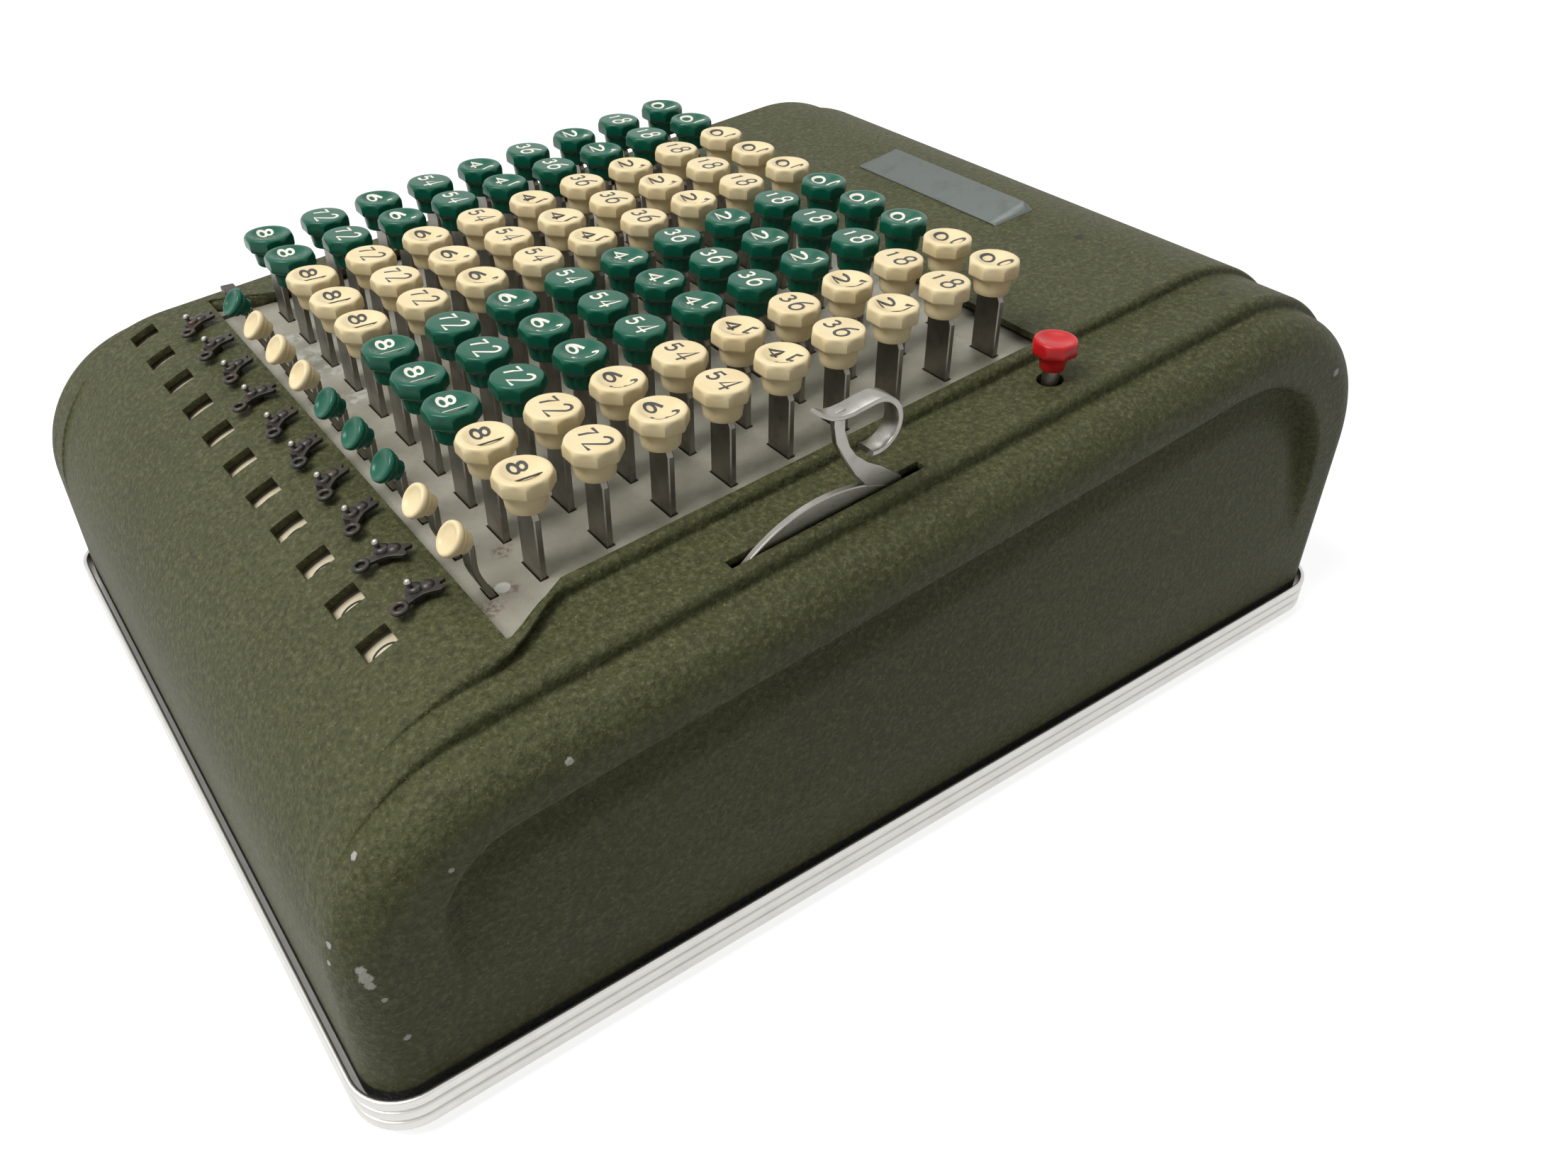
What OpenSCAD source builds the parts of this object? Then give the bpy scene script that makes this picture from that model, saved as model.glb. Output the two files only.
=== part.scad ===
// Key-driven adding machine: a sloping keyboard in a sheet-metal case on a fluted base.
// +X is the user's right, +Y the back, +Z up, in millimetres.
// The origin is on the table under the middle of the base.

/* [Case] */
// Depth across the front and rear walls of the case
case_d = 354; // [350:1:370]
// Height of the keyboard plate over the table at mid depth
plate_mid_z = 116; // [114:0.5:122]
// Slope of the deck towards the front, in degrees
tilt = 6.4; // [6:0.1:6.8]
// Thickness of the case's sheet metal
sheet_t = 2; // [1.6:0.1:2.2]
// Width of the raised panel's land between the keyboard opening and its side edge
panel_band = 3.5; // [3.2:0.1:4.5]
// How much each side of the raised panel widens at the dial windows
panel_flare = 12; // [11.5:0.1:13]
// Height of the raised panel over the keyboard plate
panel_rise = 4; // [3.5:0.1:5]
// Width of a side strip beside the raised panel
strip_band = 20.8; // [20.4:0.1:22]
// Height of the side strips over the keyboard plate
strip_rise = 0.5; // [0.3:0.1:0.6]
// Width of a shoulder beside its strip
shoulder_band = 14.2; // [13.5:0.1:15]
// Drop of the shoulders below the keyboard plate
shoulder_drop = 4; // [3.5:0.1:4.5]
// Radius of the rolled shoulder at each side
shoulder_r = 11; // [9:0.5:12]
// Radius along the raised panel's side edge
panel_edge_r = 2; // [1:0.25:2.5]
// Radius along the side strip's edge
strip_edge_r = 2.5; // [1.5:0.25:3]
// Radius of the raised panel's curve down to the front wall
panel_front_r = 60; // [58:1:62]
// Radius of the raised panel's curve down to the rear wall
panel_rear_r = 59; // [55:1:60]
// Radius of the strips' curve down to the front wall
strip_front_r = 52; // [50:1:53]
// Radius of the strips' curve down to the rear wall
strip_rear_r = 56; // [52:1:57]
// Radius of the shoulders' curve down to the front wall
shoulder_front_r = 45; // [42:1:46]
// Radius of the shoulders' curve down to the rear wall
shoulder_rear_r = 54; // [50:1:55]

/* [Side recess] */
// Height over the table at which the side panel starts to lean in
recess_foot_z = 39; // [36:1:44]
// Lean of the sunk side panel, in degrees
recess_lean = 3.8; // [3:0.1:4.2]
// Radius of the recess's front corner
recess_front_r = 22; // [18:1:25]
// Radius of the recess's rear corner
recess_rear_r = 45; // [40:1:48]
// Distance of the recess's front end from the front wall
recess_front_gap = 24; // [20:1:30]
// Distance of the recess's rear end from the rear wall
recess_rear_gap = 21; // [18:1:30]
// Depth of the recess's upper edge below the keyboard plate
recess_drop = 21; // [19:0.5:24]

/* [Base] */
// Height of the rubber feet below the trim
foot_h = 4; // [3:0.5:6]
// Diameter of a rubber foot
foot_d = 20; // [16:1:24]
// Distance of a foot from the side and end of the case
foot_inset = 24; // [22:1:32]
// How far the fluted trim stands out past the case
trim_out = 3.2; // [2.8:0.1:4]
// Height of the fluted trim
trim_h = 11.1; // [10:0.1:13]
// Thickness of the trim's lip
lip_t = 1.5; // [1.2:0.1:1.8]
// Corner radius of the trim
trim_corner_r = 14.5; // [13.5:0.5:16]
// Height of the ledge that carries the case, over the trim's lower edge
ledge_h = 6; // [5:0.5:7]
// Height of one flute's groove
flute_h = 0.8; // [0.5:0.1:1]
// Depth of one flute's groove
flute_d = 0.7; // [0.4:0.1:0.8]
// Thickness of the base pan
pan_t = 2; // [1.5:0.1:2.5]

/* [Keyboard] */
// Distance between columns of keys
col_pitch = 19.05; // [18.9:0.05:19.2]
// Distance between rows of keys, front to back
row_pitch = 18.23; // [18:0.01:18.3]
// Distance of the front row of keys from the front wall
row_1_gap = 75.85; // [75.5:0.05:76.5]
// Height of the key tops over the keyboard plate
key_rise = 28.2; // [27:0.1:31]
// Diameter of a key cap
cap_d = 15; // [13.8:0.1:15.2]
// Height of the eight-sided cap
cap_h = 4.7; // [4:0.1:5.5]
// Height of the tapered neck under a cap
neck_h = 5; // [4.5:0.1:5.5]
// Diameter of the neck where it meets the stem
neck_d = 9.8; // [9.7:0.1:10.6]
// Width of a key stem
stem_w = 9.2; // [8.6:0.1:9.4]
// Thickness of a key stem
stem_t = 1.8; // [1.5:0.1:2]
// Clearance round a stem in its slots
slot_gap = 0.35; // [0.25:0.05:0.45]
// Thickness of the keyboard plate
plate_t = 2; // [1.6:0.1:2.2]
// Depth of the lower guide plate below the keyboard plate
guide_drop = 30; // [28:0.5:31]
// Thickness of the lower guide plate
guide_t = 1.5; // [1.2:0.1:2]
// Depth of the key feet below the keyboard plate
foot_drop = 38; // [36:0.5:38.5]
// Width of the dish in an odd key
dish_d = 10.4; // [9.6:0.1:12]
// Depth of the dish in an odd key
dish_depth = 1.6; // [0.6:0.1:2]

/* [Keyboard opening] */
// Distance of the opening's side from the middle of the outer column of keys
opening_band = 11.275; // [11:0.025:11.5]
// How much each side of the opening widens at its front corners
opening_flare_w = 10.5; // [9.5:0.1:11.5]
// Distance of the opening's front edge from the front wall
opening_front_gap = 57.7; // [57.5:0.1:59]
// Distance of the opening's rear edge behind the rear row of keys
opening_rear_band = 11.3; // [11:0.1:13]
// Length of the opening's slanted front corners
opening_flare = 18; // [16:0.5:20]

/* [Dial windows] */
// Width of a dial window
window_w = 7.6; // [6:0.1:8.4]
// Height of a dial window along the curve
window_l = 8.5; // [7:0.1:10]
// Lean of the dial windows towards the user, in degrees
window_a = 23.9; // [23:0.1:25]

/* [Register] */
// Radius of a numeral wheel
drum_r = 20; // [19:0.5:21]
// Width of a numeral wheel
drum_w = 9; // [8:0.5:9.5]
// Gap between a numeral wheel and the case
drum_gap = 1.5; // [1:0.1:2]
// Diameter of the register shaft
register_shaft_d = 4; // [3:0.1:4]
// Diameter of the lever shaft
lever_shaft_d = 8; // [6:0.5:10]
// Distance of the lever shaft from the rear wall
lever_shaft_gap = 35; // [33:1:37]
// Height of the lever shaft over the table
lever_shaft_z = 78; // [76:0.5:80]
// Radial running clearance of wheels and levers on their shafts
running_gap = 0.05; // [0.02:0.01:0.08]
// Tooth size: pitch diameter over tooth count
tooth_module = 0.4; // [0.38:0.01:0.42]
// Teeth on a numeral wheel's pinion
pinion_teeth = 16; // [15:1:17]
// Thickness of a column lever
lever_t = 2; // [1.6:0.1:2.4]

/* [Cut-off buttons and pointers] */
// Lean of the cut-off buttons towards the user, in degrees
button_a = 22.9; // [22:0.1:24]
// Length of a button over the keyboard plate
button_l = 20.3; // [19:0.1:22]
// Diameter of a cut-off button
button_d = 8.3; // [7:0.1:9]
// Distance of the buttons' slots from the front row of keys
button_gap = 12.1; // [11.9:0.05:12.4]
// Lean of the pointers' strip towards the user, in degrees
pointer_a = 10.8; // [10.6:0.1:11]
// Distance of a pointer's post to the left of its column
pointer_shift = 5.2; // [4.5:0.1:6]
// Height of a pointer's top over the case
pointer_h = 4.4; // [4:0.1:5]

/* [Clear lever and side keys] */
// Distance of the clear lever from the raised panel's side edge
clear_gap = 15.5; // [15:0.1:16]
// Radius of the clear lever's rim
clear_r = 41; // [40.5:0.1:41.5]
// Distance of the clear lever's pivot behind the middle of the case
clear_y = -34.5; // [-36:0.5:-33]
// Height of the clear lever's pivot over the table
clear_z = 77; // [76.5:0.1:77.5]
// Thickness of the clear lever
clear_t = 2; // [1.6:0.1:2.4]
// Diameter of the red release key
release_d = 12.3; // [11:0.1:13]
// Distance of the release key from the raised panel's side edge
release_gap = 9.5; // [9:0.1:10]
// Distance of the release key behind the middle of the case
release_y = 46.4; // [44:0.2:48]

/* [Hidden] */

$fn = 48;
columns = 10;
rows = 9;
over = 1;
seat_gap = 0.3;
green = "seagreen";
cream = "wheat";
dark_steel = "dimgray";
steel = "silver";
case_green = "darkolivegreen";
cap_colours = [green, green, cream, cream, cream, green, green, green, cream, cream];
// turn of each decimal pointer from its usual place, in degrees
pointer_turns = [-9, -11, 3, -31, 0, 2, 1, -2, -56, -38];

// places of the columns and rows
function col_x(c) = (c - (columns + 1) / 2) * col_pitch;
function row_y(r) = -case_d / 2 + row_1_gap + (r - 1) * row_pitch;
function plate_z(y) = plate_mid_z + y * tan(tilt);
function arc_y(side, r) = side * (case_d / 2 - r);
function arc_z(side, r, rise) = plate_z(arc_y(side, r)) + rise - r / cos(tilt);

// widths from the keys outwards
opening_w = 2 * (col_x(columns) + opening_band);
opening_front_w = opening_w + 2 * opening_flare_w;
panel_w = opening_w + 2 * panel_band;
panel_front_w = panel_w + 2 * panel_flare;
strip_w = panel_w + 2 * strip_band;
case_w = strip_w + 2 * shoulder_band;
opening_rear_y = row_y(rows) + opening_rear_band;

// levels of the base
trim_w = case_w + 2 * trim_out;
trim_d = case_d + 2 * trim_out;
case_corner_r = shoulder_r;
level_fade = 0.06;
ledge_z = foot_h + ledge_h;
ledge_w = 4;
pan_z = foot_h + 1;
pan_top = pan_z + pan_t;
flange_w = 8;
trim_inner_w = case_w - 2 * ledge_w;
trim_inner_d = case_d - 2 * ledge_w;

// frames and rails inside
panel_clear = panel_w / 2 - sheet_t - seat_gap;
frame_t = 2;
frame_left_gap = 11.5;
frame_right_gap = 3.5;
frame_left_x = -panel_w / 2 - frame_left_gap;
frame_right_x = panel_w / 2 + frame_right_gap;
rail_t = 2;
front_rail_y = row_y(1) - 5.4;
rear_rail_y = row_y(rows) + 11.5;
plate_front_y = -case_d / 2 + opening_front_gap - 1;
plate_rear_y = opening_rear_y + 4;
frame_drop = 4;
frame_margin_front = 14;
frame_margin_rear = 6;

// register and its gearing
register_r = panel_front_r - sheet_t - drum_gap - drum_r;
register_y = arc_y(-1, panel_front_r) - register_r * sin(window_a);
register_z = arc_z(-1, panel_front_r, panel_rise) + register_r * cos(window_a);
lever_shaft_y = case_d / 2 - lever_shaft_gap;
pinion_r = tooth_module * pinion_teeth / 2;
shaft_distance = norm([lever_shaft_y - register_y, lever_shaft_z - register_z]);
sector_r = shaft_distance - pinion_r;
mesh_a = atan2(register_z - lever_shaft_z, register_y - lever_shaft_y);
tooth_a = 180 * tooth_module / sector_r;
addendum = tooth_module;
dedendum = 1.25 * tooth_module;
root_half = 0.24;
tip_half = 0.1;
teeth_below = 2;
teeth_above = 15;
sector_web = 9;
pinion_x = drum_w / 2;
pinion_w = 4;
lever_x = pinion_x + (pinion_w - lever_t) / 2 - 0.3;
overflow_x = col_x(1) - col_pitch;
stroke_first = 3.2;
stroke_step = 0.9;
lever_flange_t = 1.2;
lever_bar_h = 7;
flange_clear = 2;

// buttons, pointers and levers at the sides
button_y = row_y(1) - button_gap;
button_stem_w = 5;
button_stem_t = 1.6;
button_tail = 6.5;
button_cap_h = 2.4;
button_collar_h = 2.4;
button_collar_d = 5.8;
post_d = 2.6;
post_collar_h = 1.5;
clear_x = panel_w / 2 + clear_gap;
clear_slot_front = -31.5;
clear_slot_rear = 28.5;
stud_d = 6;
release_x = panel_w / 2 + release_gap;
release_stem_d = 5;
release_rise = 13;
release_tail = 26;
release_guide_z = plate_z(release_y) - 20;
shelf_t = 3;
tab_t = 1.6;
tab_w = 5;
tab_x = -panel_clear - 2.6;
tab_y = button_y + 0.8;
tab_pivot_z = plate_z(tab_y) - 9;
tab_pin_d = 3;

// nameplate and foot screws
nameplate_w = 71;
nameplate_l = 17.5;
nameplate_h = 2.9;
nameplate_gap = 80;
foot_screw_d = 4;

// Upright block of width w and depth d, with round corners.
module rounded_slab(w, d, r, h) {
  linear_extrude(h) {
    square([w - 2 * r, d], center = true);
    square([w, d - 2 * r], center = true);
    for (x = [-1, 1], y = [-1, 1])
      translate([x * (w / 2 - r), y * (d / 2 - r)])
        circle(r);
  }
}

// Draws an outline of y and z points as a plate of thickness t that starts at x.
module side_plate(x, t) {
  translate([x, 0, 0])
    rotate([90, 0, 90])
      linear_extrude(t)
        children();
}

// A round bar or bore along x between two x places.
module cross_bar(x0, x1, y, z, d) {
  translate([x0, y, z])
    rotate([0, 90, 0])
      cylinder(d = d, h = x1 - x0);
}

// One level of the case: a block whose top slopes and curves down to both end walls.
// Each lower level's end walls lie a hair behind those of the level above.
module tier(half_w, rise, front_r, rear_r, edge_r, skin, level) {
  r = max(edge_r - skin, 0.5);
  round_fn = edge_r > 5 ? 24 : 12;
  inset = skin + level * level_fade;
  hull() {
    for (s = [-1, 1]) {
      for (end = [[-1, front_r], [1, rear_r]])
        translate([s * (half_w - skin - r), arc_y(end[0], end[1]), arc_z(end[0], end[1], rise)])
          rotate([0, 90, 0])
            rotate_extrude($fn = 60)
              translate([end[1] - inset - r, 0])
                circle(r, $fn = round_fn);
      for (end = [-1, 1])
        translate([s * (half_w - skin - r), end * (case_d / 2 - inset - r), ledge_z - sign(skin) * over])
          cylinder(r = r, h = over, $fn = round_fn);
    }
  }
}

// Plan outline of the raised panel, which widens at the front in a smooth curve.
module panel_plan(skin) {
  flare_start = -case_d / 2 + opening_front_gap + opening_flare + 4;
  flare_end = -case_d / 2 + opening_front_gap - 3;
  steps = 8;
  curve = [for (i = [0:steps])
    let (t = i / steps, w = (1 - cos(180 * t)) / 2)
    [panel_w / 2 + w * (panel_front_w - panel_w) / 2 - skin, flare_start + t * (flare_end - flare_start)]];
  end = case_d / 2 + over;
  right = concat([[panel_w / 2 - skin, end]], curve, [[panel_front_w / 2 - skin, -end]]);
  polygon(concat(right, [for (i = [len(right) - 1:-1:0]) [-right[i][0], right[i][1]]]));
}

module case_block(skin) {
  intersection() {
    tier(panel_front_w / 2, panel_rise, panel_front_r, panel_rear_r, panel_edge_r, skin, 0);
    linear_extrude(2 * plate_mid_z)
      panel_plan(skin);
  }
  tier(strip_w / 2, strip_rise, strip_front_r, strip_rear_r, strip_edge_r, skin, 1);
  tier(case_w / 2, -shoulder_drop, shoulder_front_r, shoulder_rear_r, shoulder_r, skin, 2);
}

// Wedge that sinks the leaning panel into the right side wall.
module side_recess(grow) {
  front_y = -case_d / 2 + recess_front_gap + recess_front_r;
  rear_y = case_d / 2 - recess_rear_gap - recess_rear_r;
  front_z = plate_z(front_y) - recess_drop - recess_front_r;
  rear_z = plate_z(rear_y) - recess_drop - recess_rear_r;
  wall = case_w / 2;
  lean_h = plate_mid_z;
  intersection() {
    side_plate(wall - 5 * sheet_t, 6 * sheet_t)
      hull() {
        translate([front_y, front_z])
          circle(recess_front_r + grow);
        translate([rear_y, rear_z])
          circle(recess_rear_r + grow);
        translate([front_y - recess_front_r - grow, recess_foot_z])
          square([rear_y + recess_rear_r - front_y + recess_front_r + 2 * grow, 1]);
      }
    rotate([90, 0, 0])
      linear_extrude(case_d, center = true)
        polygon([[wall - grow, recess_foot_z], [wall + sheet_t, recess_foot_z],
          [wall + sheet_t, recess_foot_z + lean_h],
          [wall - grow - lean_h * tan(recess_lean), recess_foot_z + lean_h]]);
  }
}

module keyboard_opening() {
  corner_land = 1.3;
  front = -case_d / 2 + opening_front_gap;
  land_y = front + corner_land;
  flare_y = land_y + opening_flare;
  translate([0, 0, plate_mid_z - 3 * guide_drop / 4])
    linear_extrude(2 * guide_drop)
      polygon([[-opening_w / 2, opening_rear_y], [opening_w / 2, opening_rear_y],
        [opening_w / 2, flare_y], [opening_front_w / 2, land_y], [opening_front_w / 2, front],
        [-opening_front_w / 2, front], [-opening_front_w / 2, land_y], [-opening_w / 2, flare_y]]);
}

// Moves to the raised panel's front curve, at an angle from its top.
module on_front_curve(x, a) {
  translate([x, arc_y(-1, panel_front_r), arc_z(-1, panel_front_r, panel_rise)])
    rotate([a, 0, 0])
      translate([0, 0, panel_front_r])
        children();
}

module upper_case() {
  color(case_green)
    difference() {
      case_block(0);
      difference() {
        case_block(sheet_t);
        for (m = [0, 1])
          mirror([m, 0, 0])
            side_recess(sheet_t);
      }
      for (m = [0, 1])
        mirror([m, 0, 0])
          side_recess(0);
      keyboard_opening();
      for (x = concat([overflow_x], [for (c = [1:columns]) col_x(c)]))
        on_front_curve(x, window_a)
          cube([window_w, window_l, 4 * sheet_t], center = true);
      for (c = [1:columns])
        on_front_curve(col_x(c) - pointer_shift, pointer_a)
          translate([0, 0, -2 * sheet_t])
            cylinder(d = post_d + 2 * running_gap, h = 3 * sheet_t);
      translate([clear_x - clear_t / 2 - 2 * seat_gap, clear_y + clear_slot_front, clear_z + clear_r / 2])
        cube([clear_t + 4 * seat_gap, clear_slot_rear - clear_slot_front, clear_r]);
      translate([release_x, release_y, plate_mid_z - guide_drop / 2])
        cylinder(d = 1.5 * release_stem_d, h = guide_drop);
      translate([-case_w, -case_d, ledge_z - 2 * case_d])
        cube(2 * case_d);
    }
}

module base_trim() {
  color(steel)
    difference() {
      translate([0, 0, foot_h]) {
        rounded_slab(trim_w - 2 * flute_d, trim_d - 2 * flute_d, trim_corner_r - flute_d, trim_h);
        flute_pitch = (trim_h + flute_h) / 3;
        for (i = [0:2])
          translate([0, 0, i * flute_pitch])
            rounded_slab(trim_w, trim_d, trim_corner_r, flute_pitch - flute_h);
      }
      translate([0, 0, ledge_z])
        rounded_slab(trim_w - 2 * lip_t, trim_d - 2 * lip_t, trim_corner_r - lip_t, trim_h);
      translate([0, 0, pan_z])
        rounded_slab(trim_inner_w, trim_inner_d, case_corner_r, trim_h);
      translate([0, 0, foot_h - over])
        rounded_slab(trim_inner_w - 2 * flange_w, trim_inner_d - 2 * flange_w, case_corner_r, trim_h);
    }
}

module foot_places() {
  for (x = [-1, 1], y = [-1, 1])
    translate([x * (case_w / 2 - foot_inset), y * (case_d / 2 - foot_inset), 0])
      children();
}

module base_pan() {
  color(dark_steel)
    difference() {
      translate([0, 0, pan_z])
        rounded_slab(trim_inner_w - 2 * seat_gap, trim_inner_d - 2 * seat_gap, case_corner_r - seat_gap, pan_t);
      foot_places()
        cylinder(d = foot_screw_d + 2 * running_gap, h = 2 * pan_top);
    }
}

module rubber_feet() {
  color("black")
    foot_places()
      difference() {
        cylinder(d1 = foot_d - 2, d2 = foot_d, h = pan_z);
        translate([0, 0, -over])
          cylinder(d = 2.4 * foot_screw_d, h = pan_z / 2 + over);
        cylinder(d = foot_screw_d + 2 * running_gap, h = 2 * pan_z);
      }
}

module foot_screws() {
  color(steel)
    foot_places() {
      translate([0, 0, pan_z / 2 - foot_screw_d / 3])
        cylinder(d = 2 * foot_screw_d, h = foot_screw_d / 3);
      translate([0, 0, pan_z / 2 - foot_screw_d / 3])
        cylinder(d = foot_screw_d, h = pan_top - pan_z / 2 + foot_screw_d);
      translate([0, 0, pan_top])
        cylinder(d = 2 * foot_screw_d, h = foot_screw_d / 2, $fn = 6);
    }
}

// Bare plate that rises from a thin front edge to a ridge, with bevelled ends.
module nameplate() {
  ridge_l = 1.6;
  nose_l = 0.5;
  nose_h = 0.6;
  color("gray")
    translate([0, 0, plate_mid_z])
      rotate([tilt, 0, 0])
        translate([0, (case_d / 2 - nameplate_gap) / cos(tilt), panel_rise * cos(tilt)])
          intersection() {
            side_plate(-nameplate_w / 2, nameplate_w)
              polygon([[0, 0], [nameplate_l, 0], [nameplate_l - ridge_l, nameplate_h], [nose_l, nose_h]]);
            rotate([90, 0, 0])
              linear_extrude(4 * nameplate_l, center = true)
                polygon([[-nameplate_w / 2, 0], [nameplate_w / 2, 0],
                  [nameplate_w / 2 - nameplate_h, nameplate_h], [-nameplate_w / 2 + nameplate_h, nameplate_h]]);
          }
}

// Moves to the keyboard plate's upper face at a plan place and leans with it.
module on_plate(y, drop) {
  translate([0, y, plate_z(y) - drop / cos(tilt)])
    rotate([tilt, 0, 0])
      children();
}

module stem_slots() {
  for (c = [1:columns], r = [1:rows])
    translate([col_x(c), row_y(r), plate_z(row_y(r))])
      cube([stem_w + 2 * slot_gap, stem_t + 2 * slot_gap, 3 * guide_drop], center = true);
}

module on_button(c) {
  translate([col_x(c), button_y, plate_z(button_y)])
    rotate([button_a, 0, 0])
      children();
}

// Sloping sheet between two plan places with its upper face at a depth below the keyboard plate.
module sloping_sheet(front_y, rear_y, half_w, drop, t) {
  on_plate(front_y, drop)
    translate([-half_w, 0, -t])
      cube([2 * half_w, (rear_y - front_y) / cos(tilt), t]);
}

// Plate that fills the raised panel from below, with an open notch for the tab lever.
module keyboard_plate() {
  notch_gap = 2 * slot_gap;
  color("gray")
    difference() {
      intersection() {
        sloping_sheet(plate_front_y, plate_rear_y, panel_front_w / 2, 0, plate_t);
        linear_extrude(2 * plate_mid_z)
          panel_plan(sheet_t + seat_gap);
      }
      stem_slots();
      translate([tab_x - notch_gap, plate_front_y - over, tab_pivot_z])
        cube([tab_t + 2 * notch_gap, tab_y + tab_w / 2 + notch_gap - plate_front_y + over, 2 * tab_w + guide_drop]);
      for (c = [2:columns])
        on_button(c)
          cube([button_stem_w + 2 * slot_gap, button_stem_t + 2 * slot_gap, 4 * button_tail], center = true);
    }
}

module lower_guide_plate() {
  color(steel)
    difference() {
      sloping_sheet(front_rail_y - rail_t / 2, rear_rail_y + rail_t / 2, panel_clear, guide_drop, guide_t);
      stem_slots();
    }
}

module cross_rails() {
  color(dark_steel)
    for (y = [front_rail_y, rear_rail_y])
      on_plate(y, plate_t)
        translate([frame_left_x + frame_t, -rail_t / 2, plate_t - guide_drop])
          cube([frame_right_x - frame_left_x - frame_t, rail_t, guide_drop - plate_t]);
}

// Side frame with its foot flange and the bores for both shafts.
module side_frame(x, foot_side) {
  front_y = register_y - frame_margin_front;
  rear_y = lever_shaft_y + frame_margin_rear;
  deck_front_y = register_y + frame_margin_front;
  deck_rear_y = lever_shaft_y - 5 * frame_margin_rear;
  brace_w = 40;
  brace_h = 14;
  difference() {
    union() {
      side_plate(x, frame_t)
        polygon([[front_y, pan_top], [rear_y, pan_top], [rear_y, lever_shaft_z + lever_shaft_d],
          [deck_rear_y, plate_z(deck_rear_y) - frame_drop], [deck_front_y, plate_z(deck_front_y) - frame_drop],
          [register_y - register_shaft_d, register_z + 10], [front_y, register_z - register_shaft_d]]);
      translate([x + (foot_side > 0 ? frame_t : -flange_w), front_y, pan_top])
        cube([flange_w, rear_y - front_y, frame_t]);
    }
    cross_bar(x - over, x + frame_t + over, register_y, register_z, register_shaft_d + 2 * running_gap);
    cross_bar(x - over, x + frame_t + over, lever_shaft_y, lever_shaft_z, lever_shaft_d + 2 * running_gap);
    side_plate(x - over, frame_t + 2 * over)
      polygon([[front_y + brace_w, pan_top + brace_h], [rear_y - brace_w, pan_top + brace_h],
        [rear_y - brace_w - 10, pan_top + brace_w], [front_y + brace_w + 10, pan_top + brace_w - 6]]);
  }
}

module frame_left() {
  color(dark_steel) {
    side_frame(frame_left_x, -1);
    cross_bar(frame_left_x + frame_t - 0.5, tab_x + 1.5 * tab_t, tab_y, tab_pivot_z, tab_pin_d);
  }
}

module frame_right() {
  color(dark_steel)
    difference() {
      union() {
        side_frame(frame_right_x, 1);
        translate([frame_right_x, release_y - release_stem_d, release_guide_z])
          cube([release_x - frame_right_x + release_stem_d, 2 * release_stem_d, shelf_t]);
      }
      translate([release_x, release_y, release_guide_z - over])
        cylinder(d = release_stem_d + 2 * running_gap, h = shelf_t + 2 * over);
      cross_bar(frame_right_x - over, frame_right_x + frame_t + over, clear_y, clear_z, stud_d);
    }
}

module register_shaft() {
  color(steel)
    cross_bar(frame_left_x - frame_t, frame_right_x + 2 * frame_t, register_y, register_z, register_shaft_d);
}

module lever_shaft() {
  color(steel)
    cross_bar(frame_left_x - frame_t, frame_right_x + 2 * frame_t, lever_shaft_y, lever_shaft_z, lever_shaft_d);
}

// Stud on the right frame that carries the clear lever.
module lever_stud() {
  color(steel) {
    cross_bar(frame_right_x, clear_x + clear_t / 2 + 3 * seat_gap, clear_y, clear_z, stud_d);
    cross_bar(frame_right_x + frame_t, clear_x - clear_t / 2 - seat_gap, clear_y, clear_z, 1.8 * stud_d);
    cross_bar(clear_x + clear_t / 2 + seat_gap, clear_x + clear_t / 2 + 1.5, clear_y, clear_z, 1.8 * stud_d);
  }
}

// Post under each decimal pointer, with a collar that stands on the case.
module pointer_posts() {
  color(dark_steel)
    for (c = [1:columns])
      on_front_curve(col_x(c) - pointer_shift, pointer_a) {
        cylinder(d = 2 * post_d, h = post_collar_h);
        translate([0, 0, -sheet_t - 0.5])
          cylinder(d = post_d, h = sheet_t + 0.5 + pointer_h - 1);
      }
}

module dish(d, depth) {
  r = (d * d / 4 + depth * depth) / (2 * depth);
  translate([0, 0, r - depth])
    sphere(r, $fn = 96);
}

// A key: eight-sided cap with a round top, tapered neck and flat stem. Odd digits are dished.
module key(c, r) {
  rim_h = 1.6;
  octagon_d = 0.98 * cap_d;
  neck_top_d = 0.75 * cap_d;
  translate([col_x(c), row_y(r), plate_z(row_y(r)) + key_rise]) {
    difference() {
      union() {
        translate([0, 0, -rim_h])
          cylinder(d = cap_d, h = rim_h);
        translate([0, 0, -cap_h])
          rotate(180 / 8)
            cylinder(d = octagon_d, h = cap_h - rim_h / 2, $fn = 8);
        translate([0, 0, -cap_h - neck_h])
          cylinder(d1 = neck_d, d2 = neck_top_d, h = neck_h);
      }
      if (r % 2 == 1)
        dish(dish_d, dish_depth);
    }
    translate([-stem_w / 2, -stem_t / 2, -key_rise - foot_drop])
      cube([stem_w, stem_t, key_rise + foot_drop - cap_h - neck_h]);
  }
}

module keys_column(c) {
  color(cap_colours[c - 1])
    for (r = [1:rows])
      key(c, r);
}

module units_key(r) {
  color(cap_colours[columns - 1])
    key(columns, r);
}

// Dished button on a flat stem that leans towards the user.
module cutoff_button(c) {
  color(cap_colours[c - 1])
    on_button(c) {
      difference() {
        translate([0, 0, button_l - button_cap_h])
          cylinder(d = button_d, h = button_cap_h);
        translate([0, 0, button_l])
          dish(0.75 * button_d, button_cap_h / 4);
      }
      translate([0, 0, button_l - button_cap_h - button_collar_h])
        cylinder(d = button_collar_d, h = button_collar_h);
      translate([-button_stem_w / 2, -button_stem_t / 2, -button_tail])
        cube([button_stem_w, button_stem_t, button_tail + button_l - button_cap_h - button_collar_h]);
    }
}

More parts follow.
